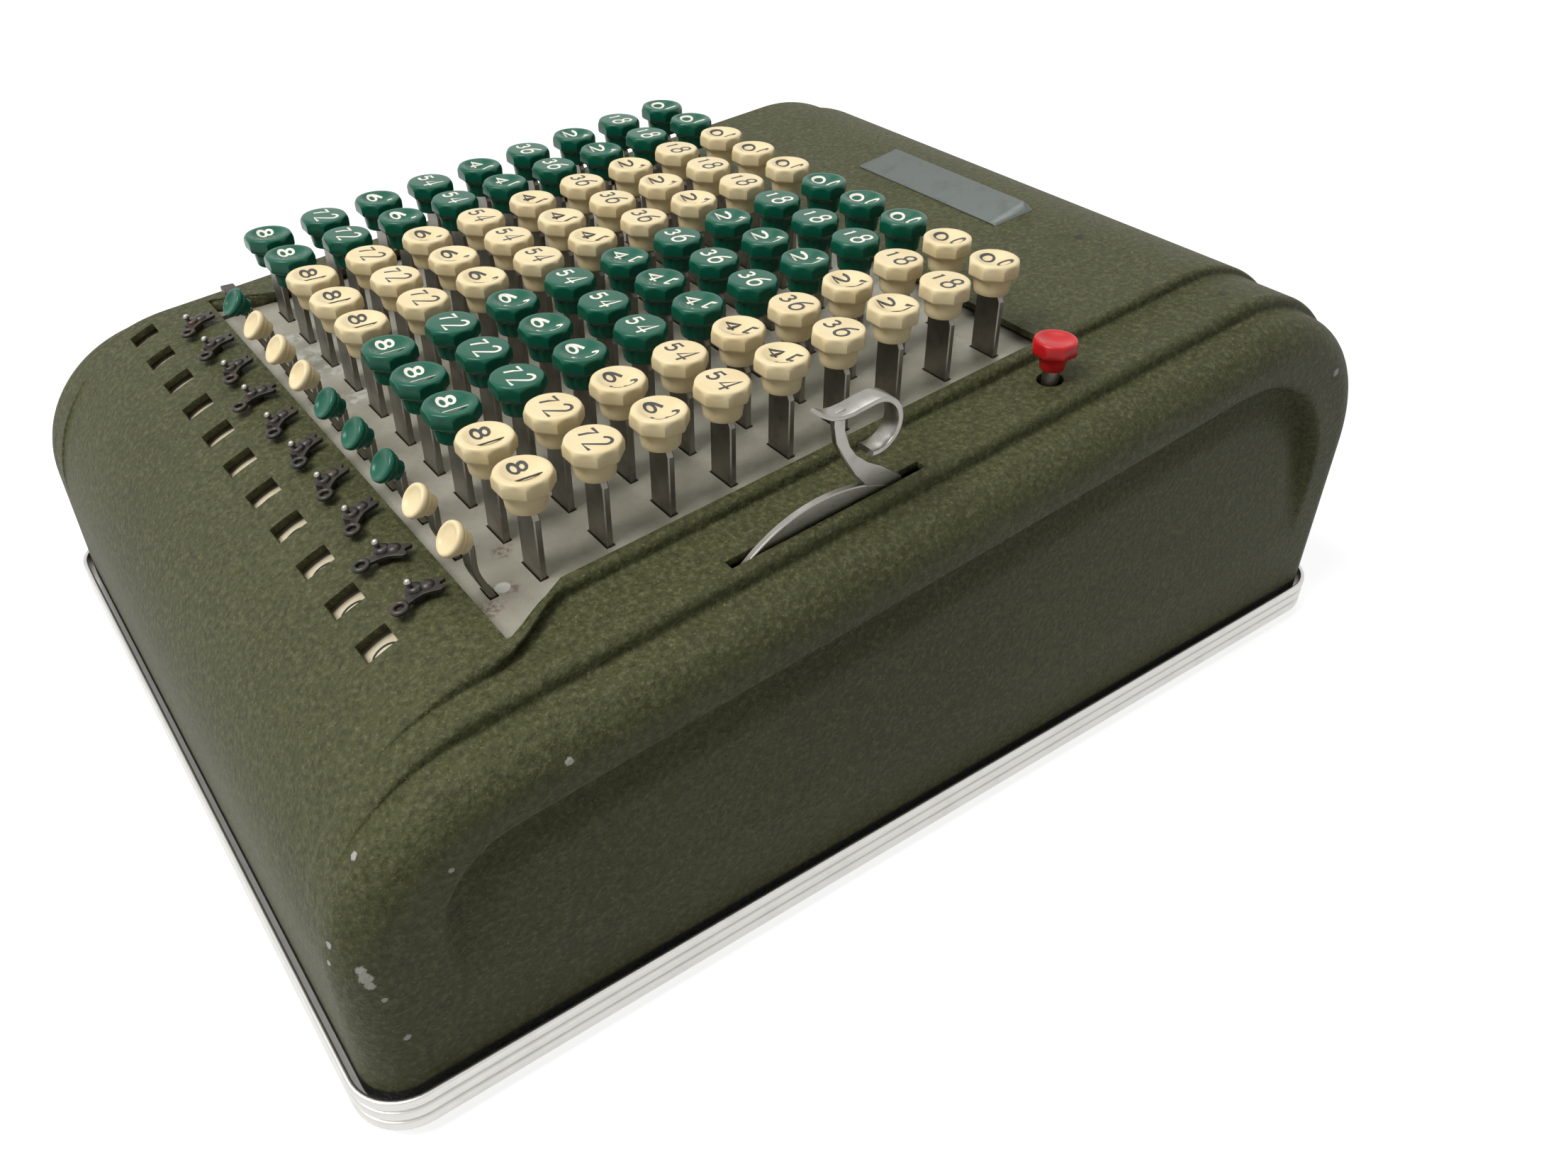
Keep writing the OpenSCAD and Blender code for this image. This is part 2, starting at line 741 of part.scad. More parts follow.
// Decimal pointer: a bent leaf with a domed boss, a forked end, a ringed end and a finger pin.
module pointer(c) {
  leaf_t = 1.3;
  leaf_z = post_collar_h + 0.1;
  fork_l = 6.2;
  fork_w = 3.8;
  fork_notch = 1.4;
  ring_l = 5.8;
  ring_d = 4.4;
  arm_w = 1.8;
  boss_d = 5;
  boss_top_d = 3.6;
  pin_out = 3;
  pin_d = 1.7;
  pin_h = 4.6;
  ball_d = 2.3;
  fork_a = 107;
  ring_a = -29;
  pin_a = -112;
  color("darkslategray")
    on_front_curve(col_x(c) - pointer_shift, pointer_a)
      rotate(pointer_turns[c - 1])
        difference() {
          union() {
            translate([0, 0, leaf_z])
              linear_extrude(leaf_t) {
                circle(d = boss_d);
                rotate(fork_a)
                  polygon([[0, -fork_w / 2 + 0.3], [fork_l, -fork_w / 2], [fork_l - fork_notch, 0],
                    [fork_l, fork_w / 2], [0, fork_w / 2 - 0.3]]);
                rotate(ring_a)
                  translate([0, -arm_w / 2])
                    square([ring_l, arm_w]);
                rotate(ring_a)
                  translate([ring_l, 0])
                    circle(d = ring_d);
                rotate(pin_a)
                  translate([0, -arm_w / 2])
                    square([pin_out, arm_w]);
              }
            translate([0, 0, leaf_z])
              cylinder(d1 = boss_d, d2 = boss_top_d, h = pointer_h - leaf_z);
            rotate(pin_a)
              translate([pin_out, 0, leaf_z])
                cylinder(d = pin_d, h = pin_h);
            rotate(pin_a)
              translate([pin_out, 0, leaf_z + pin_h])
                sphere(d = ball_d);
          }
          translate([0, 0, -over])
            cylinder(d = post_d + 2 * running_gap, h = over + pointer_h - 0.9);
        }
}

// Polar point on an arc about the origin.
function polar(r, a) = [r * cos(a), r * sin(a)];

// Clear lever: a flat disc segment on its stud, a web that leans forward and a rolled finger hook.
module clear_lever() {
  hook_r = 0.2 * clear_r;
  hook_c = clear_r * [0.2561, 1.3854];
  hook_start_a = -100;
  hook_sweep = 205;
  hook_w = 0.195 * clear_r;
  lip_l = 0.4146 * clear_r;
  lip_nose = 0.22 * clear_r;
  web_front = clear_r * [[0.229, 0.963], [0.134, 1.073], [0.059, 1.195], [-0.02, 1.341], [-0.039, 1.463],
    [-0.034, 1.551]];
  web_rear = clear_r * [[0.039, 1.561], [0.044, 1.415], [0.088, 1.293], [0.139, 1.22], [0.232, 1.134],
    [0.341, 1.068], [0.512, 0.941], [0.537, 0.878]];
  web_foot = clear_r * [[0.439, 0.805], [0.268, 0.805]];
  color(steel)
    difference() {
      union() {
        side_plate(clear_x - clear_t / 2, clear_t)
          translate([clear_y, clear_z]) {
            intersection() {
              circle(clear_r, $fn = 120);
              polygon(concat([[0, 0]], [for (a = [60, 90, 140, 178]) 2 * polar(clear_r, a)]));
            }
            circle(1.8 * stud_d);
            polygon(concat(web_front, web_rear, web_foot));
          }
        translate([clear_x - hook_w / 2, clear_y + hook_c[0], clear_z + hook_c[1]])
          rotate([90, 0, 90])
            rotate([0, 0, hook_start_a])
              rotate_extrude(angle = hook_sweep)
                translate([hook_r - clear_t, 0])
                  square([clear_t, hook_w]);
        side_plate(clear_x - hook_w / 2, hook_w)
          translate([clear_y + hook_c[0] - lip_l, clear_z + hook_c[1] + hook_r - clear_t])
            polygon([[-0.25 * clear_t, 0.35 * clear_t], [0.3 * clear_t, 1.5 * clear_t],
              [lip_l - lip_nose, 0.3 * clear_t], [lip_l, 0.9 * clear_t], [lip_l, 0.1 * clear_t],
              [lip_l - lip_nose, -0.7 * clear_t]]);
      }
      cross_bar(clear_x - clear_t, clear_x + clear_t, clear_y, clear_z, stud_d + 2 * running_gap);
    }
}

// Red release key beside the keyboard on a round stem.
module release_key() {
  rim_h = 1.6;
  cone_h = 4.3;
  collar_h = 4;
  collar_z = -rim_h - cone_h - collar_h;
  color("firebrick")
    translate([release_x, release_y, plate_z(release_y) + release_rise]) {
      difference() {
        union() {
          translate([0, 0, -rim_h])
            cylinder(d = release_d, h = rim_h);
          translate([0, 0, -rim_h - cone_h])
            cylinder(d1 = 0.86 * release_d, d2 = release_d, h = cone_h);
        }
        dish(0.8 * release_d, 1);
      }
      translate([0, 0, collar_z])
        cylinder(d = 0.69 * release_d, h = collar_h);
      translate([0, 0, -release_rise - release_tail])
        cylinder(d = release_stem_d, h = release_rise + release_tail + collar_z);
    }
}

// Small lever at the keyboard's front left corner, on a pin from the left frame.
module tab_lever() {
  tab_l = 4 * tab_w;
  color(dark_steel)
    difference() {
      union() {
        side_plate(tab_x, tab_t)
          translate([tab_y, tab_pivot_z]) {
            circle(d = 1.4 * tab_w);
            translate([-tab_w / 2, 0])
              square([tab_w, tab_l]);
          }
        translate([tab_x - 2 * tab_t, tab_y - tab_w / 2, tab_pivot_z + tab_l - tab_t])
          cube([5 * tab_t, tab_w, tab_t]);
      }
      cross_bar(tab_x - over, tab_x + tab_t + over, tab_y, tab_pivot_z, tab_pin_d + 2 * running_gap);
    }
}

// Numeral wheel: a hollow drum on a hub, with its pinion on the right.
module numeral_wheel(x, geared) {
  translate([x, register_y, register_z])
    rotate([90, 0, 90])
      difference() {
        union() {
          translate([0, 0, -drum_w / 2])
            difference() {
              cylinder(r = drum_r, h = drum_w);
              translate([0, 0, sheet_t])
                cylinder(r = drum_r - sheet_t, h = drum_w);
            }
          translate([0, 0, -drum_w / 2])
            cylinder(r = 2 * pinion_r, h = drum_w);
          if (geared)
            translate([0, 0, pinion_x - 0.1])
              linear_extrude(pinion_w + 0.1)
                pinion_outline();
        }
        translate([0, 0, -drum_w])
          cylinder(d = register_shaft_d + 2 * running_gap, h = 3 * drum_w);
      }
}

// Outline of the pinion, with a gap facing the lever shaft at rest.
module pinion_outline() {
  step = 360 / pinion_teeth;
  start = mesh_a + 180 + step / 2;
  points = [for (i = [0:pinion_teeth - 1])
    let (a = start + i * step, root = pinion_r - dedendum, tip = pinion_r + 0.8 * addendum)
    each [polar(root, a - 57.3 * root_half * 1.25 / root), polar(tip, a - 57.3 * tip_half / tip),
      polar(tip, a + 57.3 * tip_half / tip), polar(root, a + 57.3 * root_half * 1.25 / root)]];
  polygon(points);
}

// Outline of a lever's toothed sector, about the lever shaft.
module sector_outline() {
  root = sector_r - dedendum;
  tip = sector_r + 0.8 * addendum;
  low = mesh_a + (teeth_below + 0.5) * tooth_a;
  high = mesh_a - (teeth_above + 0.5) * tooth_a;
  teeth = [for (k = [-teeth_below:teeth_above])
    let (a = mesh_a - k * tooth_a)
    each [polar(root, a + 57.3 * root_half * 1.25 / root), polar(tip, a + 57.3 * tip_half / tip),
      polar(tip, a - 57.3 * tip_half / tip), polar(root, a - 57.3 * root_half * 1.25 / root)]];
  polygon(concat([polar(sector_r - sector_web, low), polar(root, low)], teeth,
    [polar(root, high), polar(sector_r - sector_web, high), polar(sector_r - sector_web, mesh_a)]));
}

// Height of the lever's flange, a little below the key feet when they are pressed.
function flange_z(r) = plate_z(row_y(r)) - foot_drop - stroke_first - stroke_step * r - flange_clear;

// Column lever: a long bar on the lever shaft with its toothed sector in front.
module lever(c) {
  x = col_x(c) + lever_x;
  front_y = row_y(1) - 6.5;
  rear_y = row_y(rows) + 7;
  slope = (flange_z(rows) - flange_z(1)) / (row_y(rows) - row_y(1));
  front_z = flange_z(1) + slope * (front_y - row_y(1));
  rear_z = flange_z(1) + slope * (rear_y - row_y(1));
  sector_y = lever_shaft_y - sector_r + sector_web;
  sector_mid_y = sector_y - sector_web / 2;
  hub_gap = 2;
  difference() {
    union() {
      side_plate(x, lever_t) {
        polygon([[lever_shaft_y, lever_shaft_z + lever_shaft_d], [rear_y + 20, rear_z + 4], [rear_y, rear_z],
          [front_y, front_z], [sector_y, register_z - 6], [sector_mid_y, register_z - 2],
          [sector_mid_y, register_z - 6], [front_y - 4, front_z - lever_bar_h],
          [rear_y, rear_z - lever_bar_h], [lever_shaft_y, lever_shaft_z - lever_shaft_d]]);
        translate([lever_shaft_y, lever_shaft_z]) {
          circle(lever_shaft_d);
          sector_outline();
        }
      }
      cross_bar(x - hub_gap, x + lever_t + hub_gap, lever_shaft_y, lever_shaft_z, 2 * lever_shaft_d - 3);
      translate([col_x(c) - stem_w / 2, front_y, front_z - lever_flange_t])
        rotate([atan(slope), 0, 0])
          cube([lever_x + stem_w / 2 + lever_t, (rear_y - front_y) / cos(atan(slope)), lever_flange_t]);
    }
    cross_bar(x - 3 * over, x + lever_t + 3 * over, lever_shaft_y, lever_shaft_z, lever_shaft_d + 2 * running_gap);
  }
}

module units_wheel() {
  color(cream)
    numeral_wheel(col_x(columns), true);
}

module register_wheels() {
  color(cream) {
    numeral_wheel(overflow_x, false);
    for (c = [1:columns - 1])
      numeral_wheel(col_x(c), true);
  }
}

module units_lever() {
  color(steel)
    lever(columns);
}

module column_levers() {
  color(steel)
    for (c = [1:columns - 1])
      lever(c);
}

upper_case();
base_trim();
base_pan();
rubber_feet();
foot_screws();
nameplate();
keyboard_plate();
lower_guide_plate();
frame_left();
frame_right();
cross_rails();
register_shaft();
lever_shaft();
lever_stud();
pointer_posts();
keys_column(1);  // keys_column_1
keys_column(2);  // keys_column_2
keys_column(3);  // keys_column_3
keys_column(4);  // keys_column_4
keys_column(5);  // keys_column_5
keys_column(6);  // keys_column_6
keys_column(7);  // keys_column_7
keys_column(8);  // keys_column_8
keys_column(9);  // keys_column_9
units_key(1);  // units_key_1
units_key(2);  // units_key_2
units_key(3);  // units_key_3
units_key(4);  // units_key_4
units_key(5);  // units_key_5
units_key(6);  // units_key_6
units_key(7);  // units_key_7
units_key(8);  // units_key_8
units_key(9);  // units_key_9
cutoff_button(2);  // cutoff_button_2
cutoff_button(3);  // cutoff_button_3
cutoff_button(4);  // cutoff_button_4
cutoff_button(5);  // cutoff_button_5
cutoff_button(6);  // cutoff_button_6
cutoff_button(7);  // cutoff_button_7
cutoff_button(8);  // cutoff_button_8
cutoff_button(9);  // cutoff_button_9
cutoff_button(10);  // cutoff_button_10
pointer(1);  // pointer_1
pointer(2);  // pointer_2
pointer(3);  // pointer_3
pointer(4);  // pointer_4
pointer(5);  // pointer_5
pointer(6);  // pointer_6
pointer(7);  // pointer_7
pointer(8);  // pointer_8
pointer(9);  // pointer_9
pointer(10);  // pointer_10
clear_lever();
release_key();
tab_lever();
units_wheel();
register_wheels();
units_lever();
column_levers();
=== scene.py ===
import bpy
import bmesh
from math import sin, cos, tan, pi, radians, sqrt, acos, atan2, hypot
from mathutils import Vector, Matrix


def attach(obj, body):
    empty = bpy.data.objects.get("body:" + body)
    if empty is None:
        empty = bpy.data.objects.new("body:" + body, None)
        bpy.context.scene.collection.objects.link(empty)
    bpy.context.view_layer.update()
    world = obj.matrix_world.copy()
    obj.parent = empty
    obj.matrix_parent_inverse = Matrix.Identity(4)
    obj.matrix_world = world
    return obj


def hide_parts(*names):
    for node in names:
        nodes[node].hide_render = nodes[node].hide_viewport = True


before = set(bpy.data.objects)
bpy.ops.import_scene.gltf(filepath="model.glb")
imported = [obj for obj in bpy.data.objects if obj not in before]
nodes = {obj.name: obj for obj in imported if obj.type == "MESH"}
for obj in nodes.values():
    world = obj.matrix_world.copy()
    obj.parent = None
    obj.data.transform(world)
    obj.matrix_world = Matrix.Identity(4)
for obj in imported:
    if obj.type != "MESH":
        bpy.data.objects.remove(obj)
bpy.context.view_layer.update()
print("frame loaded:", len(nodes), "nodes")

mm = 0.001
machine = {
    "plateMid": 116.0,    # height of the keyboard plate at mid depth, mm
    "tilt": radians(6.4),    # slope of the deck
    "colPitch": 19.05,
    "rowPitch": 18.23,
    "firstRow": -101.15,    # y of the front row
    "caseHalfDepth": 177.0,
}


def colX(c):
    return (c - 5.5) * machine["colPitch"]


def rowY(r):
    return machine["firstRow"] + (r - 1) * machine["rowPitch"]


def plateZ(y):
    return machine["plateMid"] + y * tan(machine["tilt"])


# shader helpers

def operators(operation):    # an operator and its reflection
    def plain(self, other):
        return self.calc(operation, self, other)

    def reflected(self, other):
        return self.calc(operation, other, self)
    return plain, reflected


class Wire:    # one output socket, with sums written as Python

    def __init__(self, tree, socket):
        self.tree = tree
        self.socket = socket

    def calc(self, operation, first, second=0.0, clamp=False):
        settings = {"operation": operation, "use_clamp": clamp}
        return self.tree.node("ShaderNodeMath", settings, {0: first, 1: second})

    __add__, __radd__ = operators("ADD")
    __sub__, __rsub__ = operators("SUBTRACT")
    __mul__, __rmul__ = operators("MULTIPLY")
    __truediv__, __rtruediv__ = operators("DIVIDE")


class Tree:    # the emptied node tree of a material or a world

    def __init__(self, block):
        block.use_nodes = True
        self.tree = block.node_tree
        self.tree.nodes.clear()

    def node(self, kind, settings=None, inputs=None, output=0):
        made = self.tree.nodes.new(kind)
        for key, value in (settings or {}).items():
            setattr(made, key, value)
        for key, value in (inputs or {}).items():
            if isinstance(value, Wire):
                self.tree.links.new(value.socket, made.inputs[key])
            else:
                made.inputs[key].default_value = value
        return Wire(self, made.outputs[output]) if made.outputs else None


class Finish(Tree):    # one material of its own

    def __init__(self, name, roughness, metallic=0.0, specular=0.5):
        self.material = bpy.data.materials.new(name)
        super().__init__(self.material)
        fixed = {"Roughness": roughness, "Metallic": metallic, "Specular IOR Level": specular}
        self.shader = self.node("ShaderNodeBsdfPrincipled", None, fixed)
        self.node("ShaderNodeOutputMaterial", None, {0: self.shader})
        self.place = self.node("ShaderNodeTexCoord", output="Object")

    def noise(self, scale, detail, roughness, place=None, seed=0.0):
        inputs = {"Vector": place or self.place, "Scale": scale, "Detail": detail}
        inputs.update({"Roughness": roughness, "W": seed})
        return self.node("ShaderNodeTexNoise", {"noise_dimensions": "4D"}, inputs)

    def step(self, value, low, high):    # smooth 0..1 between two values
        inputs = {"Value": value, "From Min": low, "From Max": high}
        return self.node("ShaderNodeMapRange", {"interpolation_type": "SMOOTHSTEP"}, inputs)

    def mix(self, factor, first, second):    # from the first colour to the second
        pair = [(*v, 1.0) if isinstance(v, tuple) else v for v in (first, second)]
        return self.node("ShaderNodeMix", {"data_type": "RGBA"}, {0: factor, 6: pair[0], 7: pair[1]}, 2)

    def spot(self, x, y, z, radius, soft, wobble=0.6):    # 1 inside a ragged spot
        away = self.node("ShaderNodeVectorMath", {"operation": "DISTANCE"},
                         {0: self.place, 1: (x * mm, y * mm, z * mm)}, "Value")
        ragged = self.noise(2.0 / (radius * mm), 4.0, 0.75, seed=radius)
        reach = radius * mm * (1.0 - wobble / 2 + ragged * wobble)
        return 1.0 - self.step(away / reach, 1.0 - soft, 1.0)

    def end(self, colour, roughness, height, distance, strength):    # distance in metres
        relief = {"Height": height, "Distance": distance, "Strength": strength}
        normal = self.node("ShaderNodeBump", None, relief)
        inputs = self.shader.socket.node.inputs
        for title, wire in (("Base Color", colour), ("Roughness", roughness), ("Normal", normal)):
            self.tree.links.new(wire.socket, inputs[title])
        return self


def dress(finish, *names):    # a new finish for CAD nodes that stay
    for name in names:
        slots = nodes[name].material_slots
        for slot in slots:
            slot.material = finish.material
        if not slots:
            nodes[name].data.materials.append(finish.material)


# mesh helpers, all sizes in mm

class Shape:    # points and faces gathered before the mesh is made

    def __init__(self):
        self.points = []
        self.faces = []

    def add(self, points):
        first = len(self.points)
        self.points.extend(points)
        return first

    def face(self, *corners):
        self.faces.append(corners)

    def strip(self, first, second, count):    # quads between two rings
        for i in range(count):
            j = (i + 1) % count
            self.face(first + i, first + j, second + j, second + i)

    def loft(self, rings):    # a body through its rings, closed at both ends
        count = len(rings[0])
        starts = [self.add(points) for points in rings]
        for a, b in zip(starts, starts[1:]):
            self.strip(a, b, count)
        self.face(*reversed(range(starts[0], starts[0] + count)))
        self.face(*range(starts[-1], starts[-1] + count))

    def hoop(self, rings):    # a body whose last ring meets its first
        starts = [self.add(points) for points in rings]
        for a, b in zip(starts, starts[1:] + starts[:1]):
            self.strip(a, b, len(rings[0]))

    def prism(self, outline, place, low, high):    # a flat outline pushed along z
        self.loft([[place(x, y, z) for x, y in outline] for z in (low, high)])

    def mesh(self, name):
        data = bpy.data.meshes.new(name)
        data.from_pydata([(x * mm, y * mm, z * mm) for x, y, z in self.points], [], self.faces)
        data.validate()
        data.update()
        return data


roundingFacts = {"segments": 2, "limit_method": "ANGLE", "angle_limit": radians(40)}
weldGap = 1e-6    # metres


def modify(made, name, kind, settings):
    modifier = made.modifiers.new(name, kind)
    for key, value in settings.items():
        setattr(modifier, key, value)


# sharp: angle in degrees from which an edge shows; bevel and sheet in mm
def piece(name, shape, body, finish, replaced=(), sharp=40, bevel=0.0, sheet=0.0):
    made = bpy.data.objects.new(name, shape.mesh(name))
    bpy.context.scene.collection.objects.link(made)
    made.data.materials.append(finish.material)
    made.data.shade_smooth()
    fixMesh(made.data, radians(sharp))
    if sheet:
        modify(made, "wall", "SOLIDIFY", {"thickness": sheet * mm, "offset": -1.0})
    if bevel:
        modify(made, "rounding", "BEVEL", {"width": bevel * mm, **roundingFacts})
    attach(made, body)
    if replaced:
        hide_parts(*replaced)


def fixMesh(data, angle):    # faces turned outward, and sharp edges marked
    work = bmesh.new()
    work.from_mesh(data)
    bmesh.ops.remove_doubles(work, verts=work.verts, dist=weldGap)
    bmesh.ops.recalc_face_normals(work, faces=work.faces)
    for edge in work.edges:
        if len(edge.link_faces) == 2:
            edge.smooth = edge.calc_face_angle(0.0) < angle
    work.to_mesh(data)
    work.free()


def ring(radius, z, count, x0=0.0, y0=0.0):
    points = []
    for i in range(count):
        a = 2 * pi * i / count
        reach = radius(a) if callable(radius) else radius
        points.append((x0 + reach * cos(a), y0 + reach * sin(a), z))
    return points


def smooth(t):
    t = max(0.0, min(1.0, t))
    return t * t * (3 - 2 * t)


# finishes

colours = {
    "olive": (0.056, 0.060, 0.0225),
    "oliveDark": (0.031, 0.031, 0.012),
    "oliveLight": (0.100, 0.102, 0.050),
    "plateDark": (0.275, 0.26, 0.205),
    "plateLight": (0.40, 0.38, 0.315),
    "speck": (0.175, 0.158, 0.082),
    "chip": (0.42, 0.41, 0.36),
    "grime": (0.018, 0.018, 0.012),
    # near-black painted shade for the gap between the case and the trim lip
    "seamShade": (0.006, 0.006, 0.005),
    "plateGrain": (0.13, 0.105, 0.075),
    "worn": (0.52, 0.52, 0.48),
    "dot": (0.60, 0.60, 0.54),
    "rust": (0.10, 0.055, 0.028),
}

paintFacts = {    # ragged chips in the paint and stains on it, mm: x, y, z, radius
    "chips": ((124.3, -164.9, 82.3, 1.1), (135.5, -149.5, 77.8, 0.8), (126.9, -174.9, 63.9, 1.0),
        (127.1, -175.9, 59.0, 0.8), (133.5, -171.6, 59.8, 1.4), (133.9, -171.1, 57.3, 1.8),
        (134.1, -170.7, 54.8, 1.3), (135.1, -168.9, 49.2, 0.8), (135.4, -166.5, 34.0, 1.0),
        (134.6, -120.2, 91.5, 1.1), (135.4, 152.8, 103.3, 1.5)),
    "stains": ((111.4, 118.0, 129.5, 1.8), (60.0, 110.0, 132.6, 2.2)),
    "seamShadeFoot": 0.0150,    # metres: painted shade of the gap between the case and the trim, near black below this height and none above the next
    "seamShadeTop": 0.0164,
}


def makeCasePaint():
    k = paintFacts
    paint = Finish("casePaint", 0.55, specular=0.16)
    wrinkle = paint.noise(640.0, 4.0, 0.6)
    fine = paint.noise(1150.0, 4.0, 0.72, seed=3.0)
    broad = paint.noise(13.0, 3.0, 0.5, seed=2.0)
    shade = paint.mix(paint.step(broad, 0.35, 0.7) * 0.35, colours["olive"], colours["oliveDark"])
    shade = paint.mix(paint.step(wrinkle, 0.5, 0.66) * 0.75, shade, colours["oliveLight"])
    shade = paint.mix(paint.step(wrinkle, 0.5, 0.36) * 0.8, shade, colours["oliveDark"])
    shade = paint.mix(paint.step(fine, 0.56, 0.66) * 0.65, shade, colours["speck"])
    for mark in k["stains"]:
        shade = paint.mix(paint.spot(*mark, 0.5) * 0.8, shade, colours["grime"])
    chipped = 0.0
    for mark in k["chips"]:
        chipped = paint.spot(*mark, 0.2, 1.7) + chipped
    chipped = chipped.calc("ADD", chipped, clamp=True)
    shade = paint.mix(chipped * 0.9, shade, colours["chip"])
    height = paint.node("ShaderNodeSeparateXYZ", None, {0: paint.place}, "Z")
    # painted shade: the paint goes near black at the foot of the case, for the shadowed gap above the trim
    # lip
    shade = paint.mix(1.0 - paint.step(height, k["seamShadeFoot"], k["seamShadeTop"]), shade, colours["seamShade"])
    relief = wrinkle + fine * 0.4 - chipped * 0.3
    return paint.end(shade, 0.46 + fine * 0.2, relief, 0.0009, 0.75)


def makeKeyPlastic(name, colour, dark, gloss):
    plastic = Finish(name, gloss, specular=0.28)
    cloud = plastic.noise(160.0, 3.0, 0.5)
    scuff = plastic.noise(900.0, 4.0, 0.7, seed=4.0)
    shade = plastic.mix(plastic.step(cloud, 0.35, 0.75) * 0.4, colour, dark)
    dull = gloss + plastic.step(scuff, 0.6, 0.85) * 0.14
    return plastic.end(shade, dull, cloud * 0.8 + scuff * 0.06, 0.00009, 0.4)


even = (1.0, 1.0, 1.0)    # how the grain of a metal is drawn out along x, y and z
upward = (1.0, 1.0, 0.06)
steep = (1.0, 1.0, 0.08)
level = (0.03, 0.03, 1.0)


def makeMetal(name, colour, roughness, streak=steep, stain=0.4, dark=(0.12, 0.10, 0.08), metallic=1.0):
    metal = Finish(name, roughness, metallic)
    along = metal.node("ShaderNodeMapping", None, {"Vector": metal.place, "Scale": streak})
    lines = metal.noise(1800.0, 4.0, 0.7, place=along)
    blotch = metal.noise(120.0, 4.0, 0.6, seed=1.5)
    shade = metal.mix(metal.step(blotch, 0.45, 0.75) * stain, colour, dark)
    pale = tuple(min(1.0, c * 1.3) for c in colour)
    shade = metal.mix(metal.step(lines, 0.3, 0.8) * 0.25, shade, pale)
    return metal.end(shade, roughness + blotch * 0.2 + lines * 0.12 - 0.12, lines, 0.00005, 0.35)


def makePlain(name, colour, roughness, scale=600.0, depth=0.00005):
    plain = Finish(name, roughness)
    grain = plain.noise(scale, 4.0, 0.6)
    shade = plain.mix(plain.step(grain, 0.3, 0.8) * 0.25, colour, tuple(c * 0.55 for c in colour))
    return plain.end(shade, roughness - 0.06 + grain * 0.15, grain, depth, 0.5)


plateFacts = {    # marks on the keyboard plate, mm: x, y, z, radius
    "pale": ((-68.7, -105.6, 104.2, 5.0), (-55.2, -104.1, 104.3, 6.5), (-42.0, -102.3, 104.5, 6.0),
        (-27.5, -110.1, 103.7, 5.0), (-21.5, -103.7, 104.4, 6.0)),
    "dot": (86.3, -110.1, 103.6, 2.2),
    "rust": ((91.3, -116.1, 103.0, 4.5), (87.8, -108.8, 103.8, 3.0), (74.0, -104.0, 104.3, 3.5),
        (30.0, -111.0, 103.5, 3.5), (-5.0, -112.0, 103.4, 3.0)),
}


def makePlateSteel():
    k = plateFacts
    steel = Finish("plateSteel", 0.45, 0.35)
    cloud = steel.noise(55.0, 4.0, 0.6)
    grain = steel.noise(700.0, 4.0, 0.65, seed=2.0)
    shade = steel.mix(steel.step(cloud, 0.35, 0.7), colours["plateDark"], colours["plateLight"])
    shade = steel.mix(steel.step(grain, 0.55, 0.8) * 0.35, shade, colours["plateGrain"])
    broken = steel.step(steel.noise(380.0, 3.0, 0.6, seed=6.0), 0.42, 0.6)
    for mark in k["pale"]:
        shade = steel.mix(steel.spot(*mark, 0.5, 1.4) * broken * 0.75, shade, colours["worn"])
    grained = steel.step(grain, 0.42, 0.6)
    for mark in k["rust"]:
        shade = steel.mix(steel.spot(*mark, 0.6, 1.5) * grained * 0.7, shade, colours["rust"])
    shade = steel.mix(steel.spot(*k["dot"], 0.25, 0.4) * 0.9, shade, colours["dot"])
    return steel.end(shade, 0.38 + grain * 0.22, cloud * 0.4 + grain * 0.4, 0.0001, 0.4)


casePaint = makeCasePaint()
plateSteel = makePlateSteel()
greenPlastic = makeKeyPlastic("greenPlastic", (0.003, 0.092, 0.052), (0.003, 0.066, 0.038), 0.26)
creamPlastic = makeKeyPlastic("creamPlastic", (0.75, 0.63, 0.38), (0.62, 0.46, 0.22), 0.30)
redPlastic = makeKeyPlastic("redPlastic", (0.50, 0.010, 0.012), (0.32, 0.006, 0.008), 0.25)
whiteFill = makePlain("whiteFill", (0.82, 0.78, 0.68), 0.5)
blackFill = makePlain("blackFill", (0.025, 0.024, 0.022), 0.45)
stemSteel = makeMetal("stemSteel", (0.22, 0.205, 0.175), 0.34, upward, 0.7, (0.075, 0.058, 0.04))
frameSteel = makeMetal("frameSteel", (0.25, 0.24, 0.22), 0.45)
brightSteel = makeMetal("brightSteel", (0.55, 0.54, 0.50), 0.3)
bluedSteel = makeMetal("bluedSteel", (0.030, 0.027, 0.023), 0.34, even, 0.8, (0.085, 0.055, 0.032), 0.5)
trimAluminium = makeMetal("trimAluminium", (0.62, 0.61, 0.58), 0.28, level, 0.18, (0.35, 0.33, 0.30))
nickelPlate = makeMetal("nickelPlate", (0.33, 0.32, 0.29), 0.26, even, 0.45, (0.16, 0.14, 0.11))
barePlate = makeMetal("barePlate", (0.135, 0.15, 0.14), 0.4, even, 0.5, (0.07, 0.078, 0.07))
dialPaint = makePlain("dialPaint", (0.62, 0.54, 0.38), 0.45)
footRubber = makePlain("footRubber", (0.02, 0.02, 0.02), 0.7, 300.0, 0.0001)

dress(casePaint, "upper_case")
dress(trimAluminium, "base_trim")
dress(frameSteel, "base_pan", "frame_left", "frame_right", "cross_rails", "lower_guide_plate")
dress(plateSteel, "keyboard_plate")
dress(footRubber, "rubber_feet")
dress(brightSteel, "foot_screws", "register_shaft", "lever_shaft", "lever_stud")
dress(brightSteel, "units_lever", "column_levers")
dress(barePlate, "nameplate")
dress(bluedSteel, "pointer_posts", "tab_lever", *[f"pointer_{c}" for c in range(1, 11)])
dress(nickelPlate, "clear_lever")
dress(redPlastic, "release_key")
dress(dialPaint, "units_wheel", "register_wheels")
print("finishes ready")


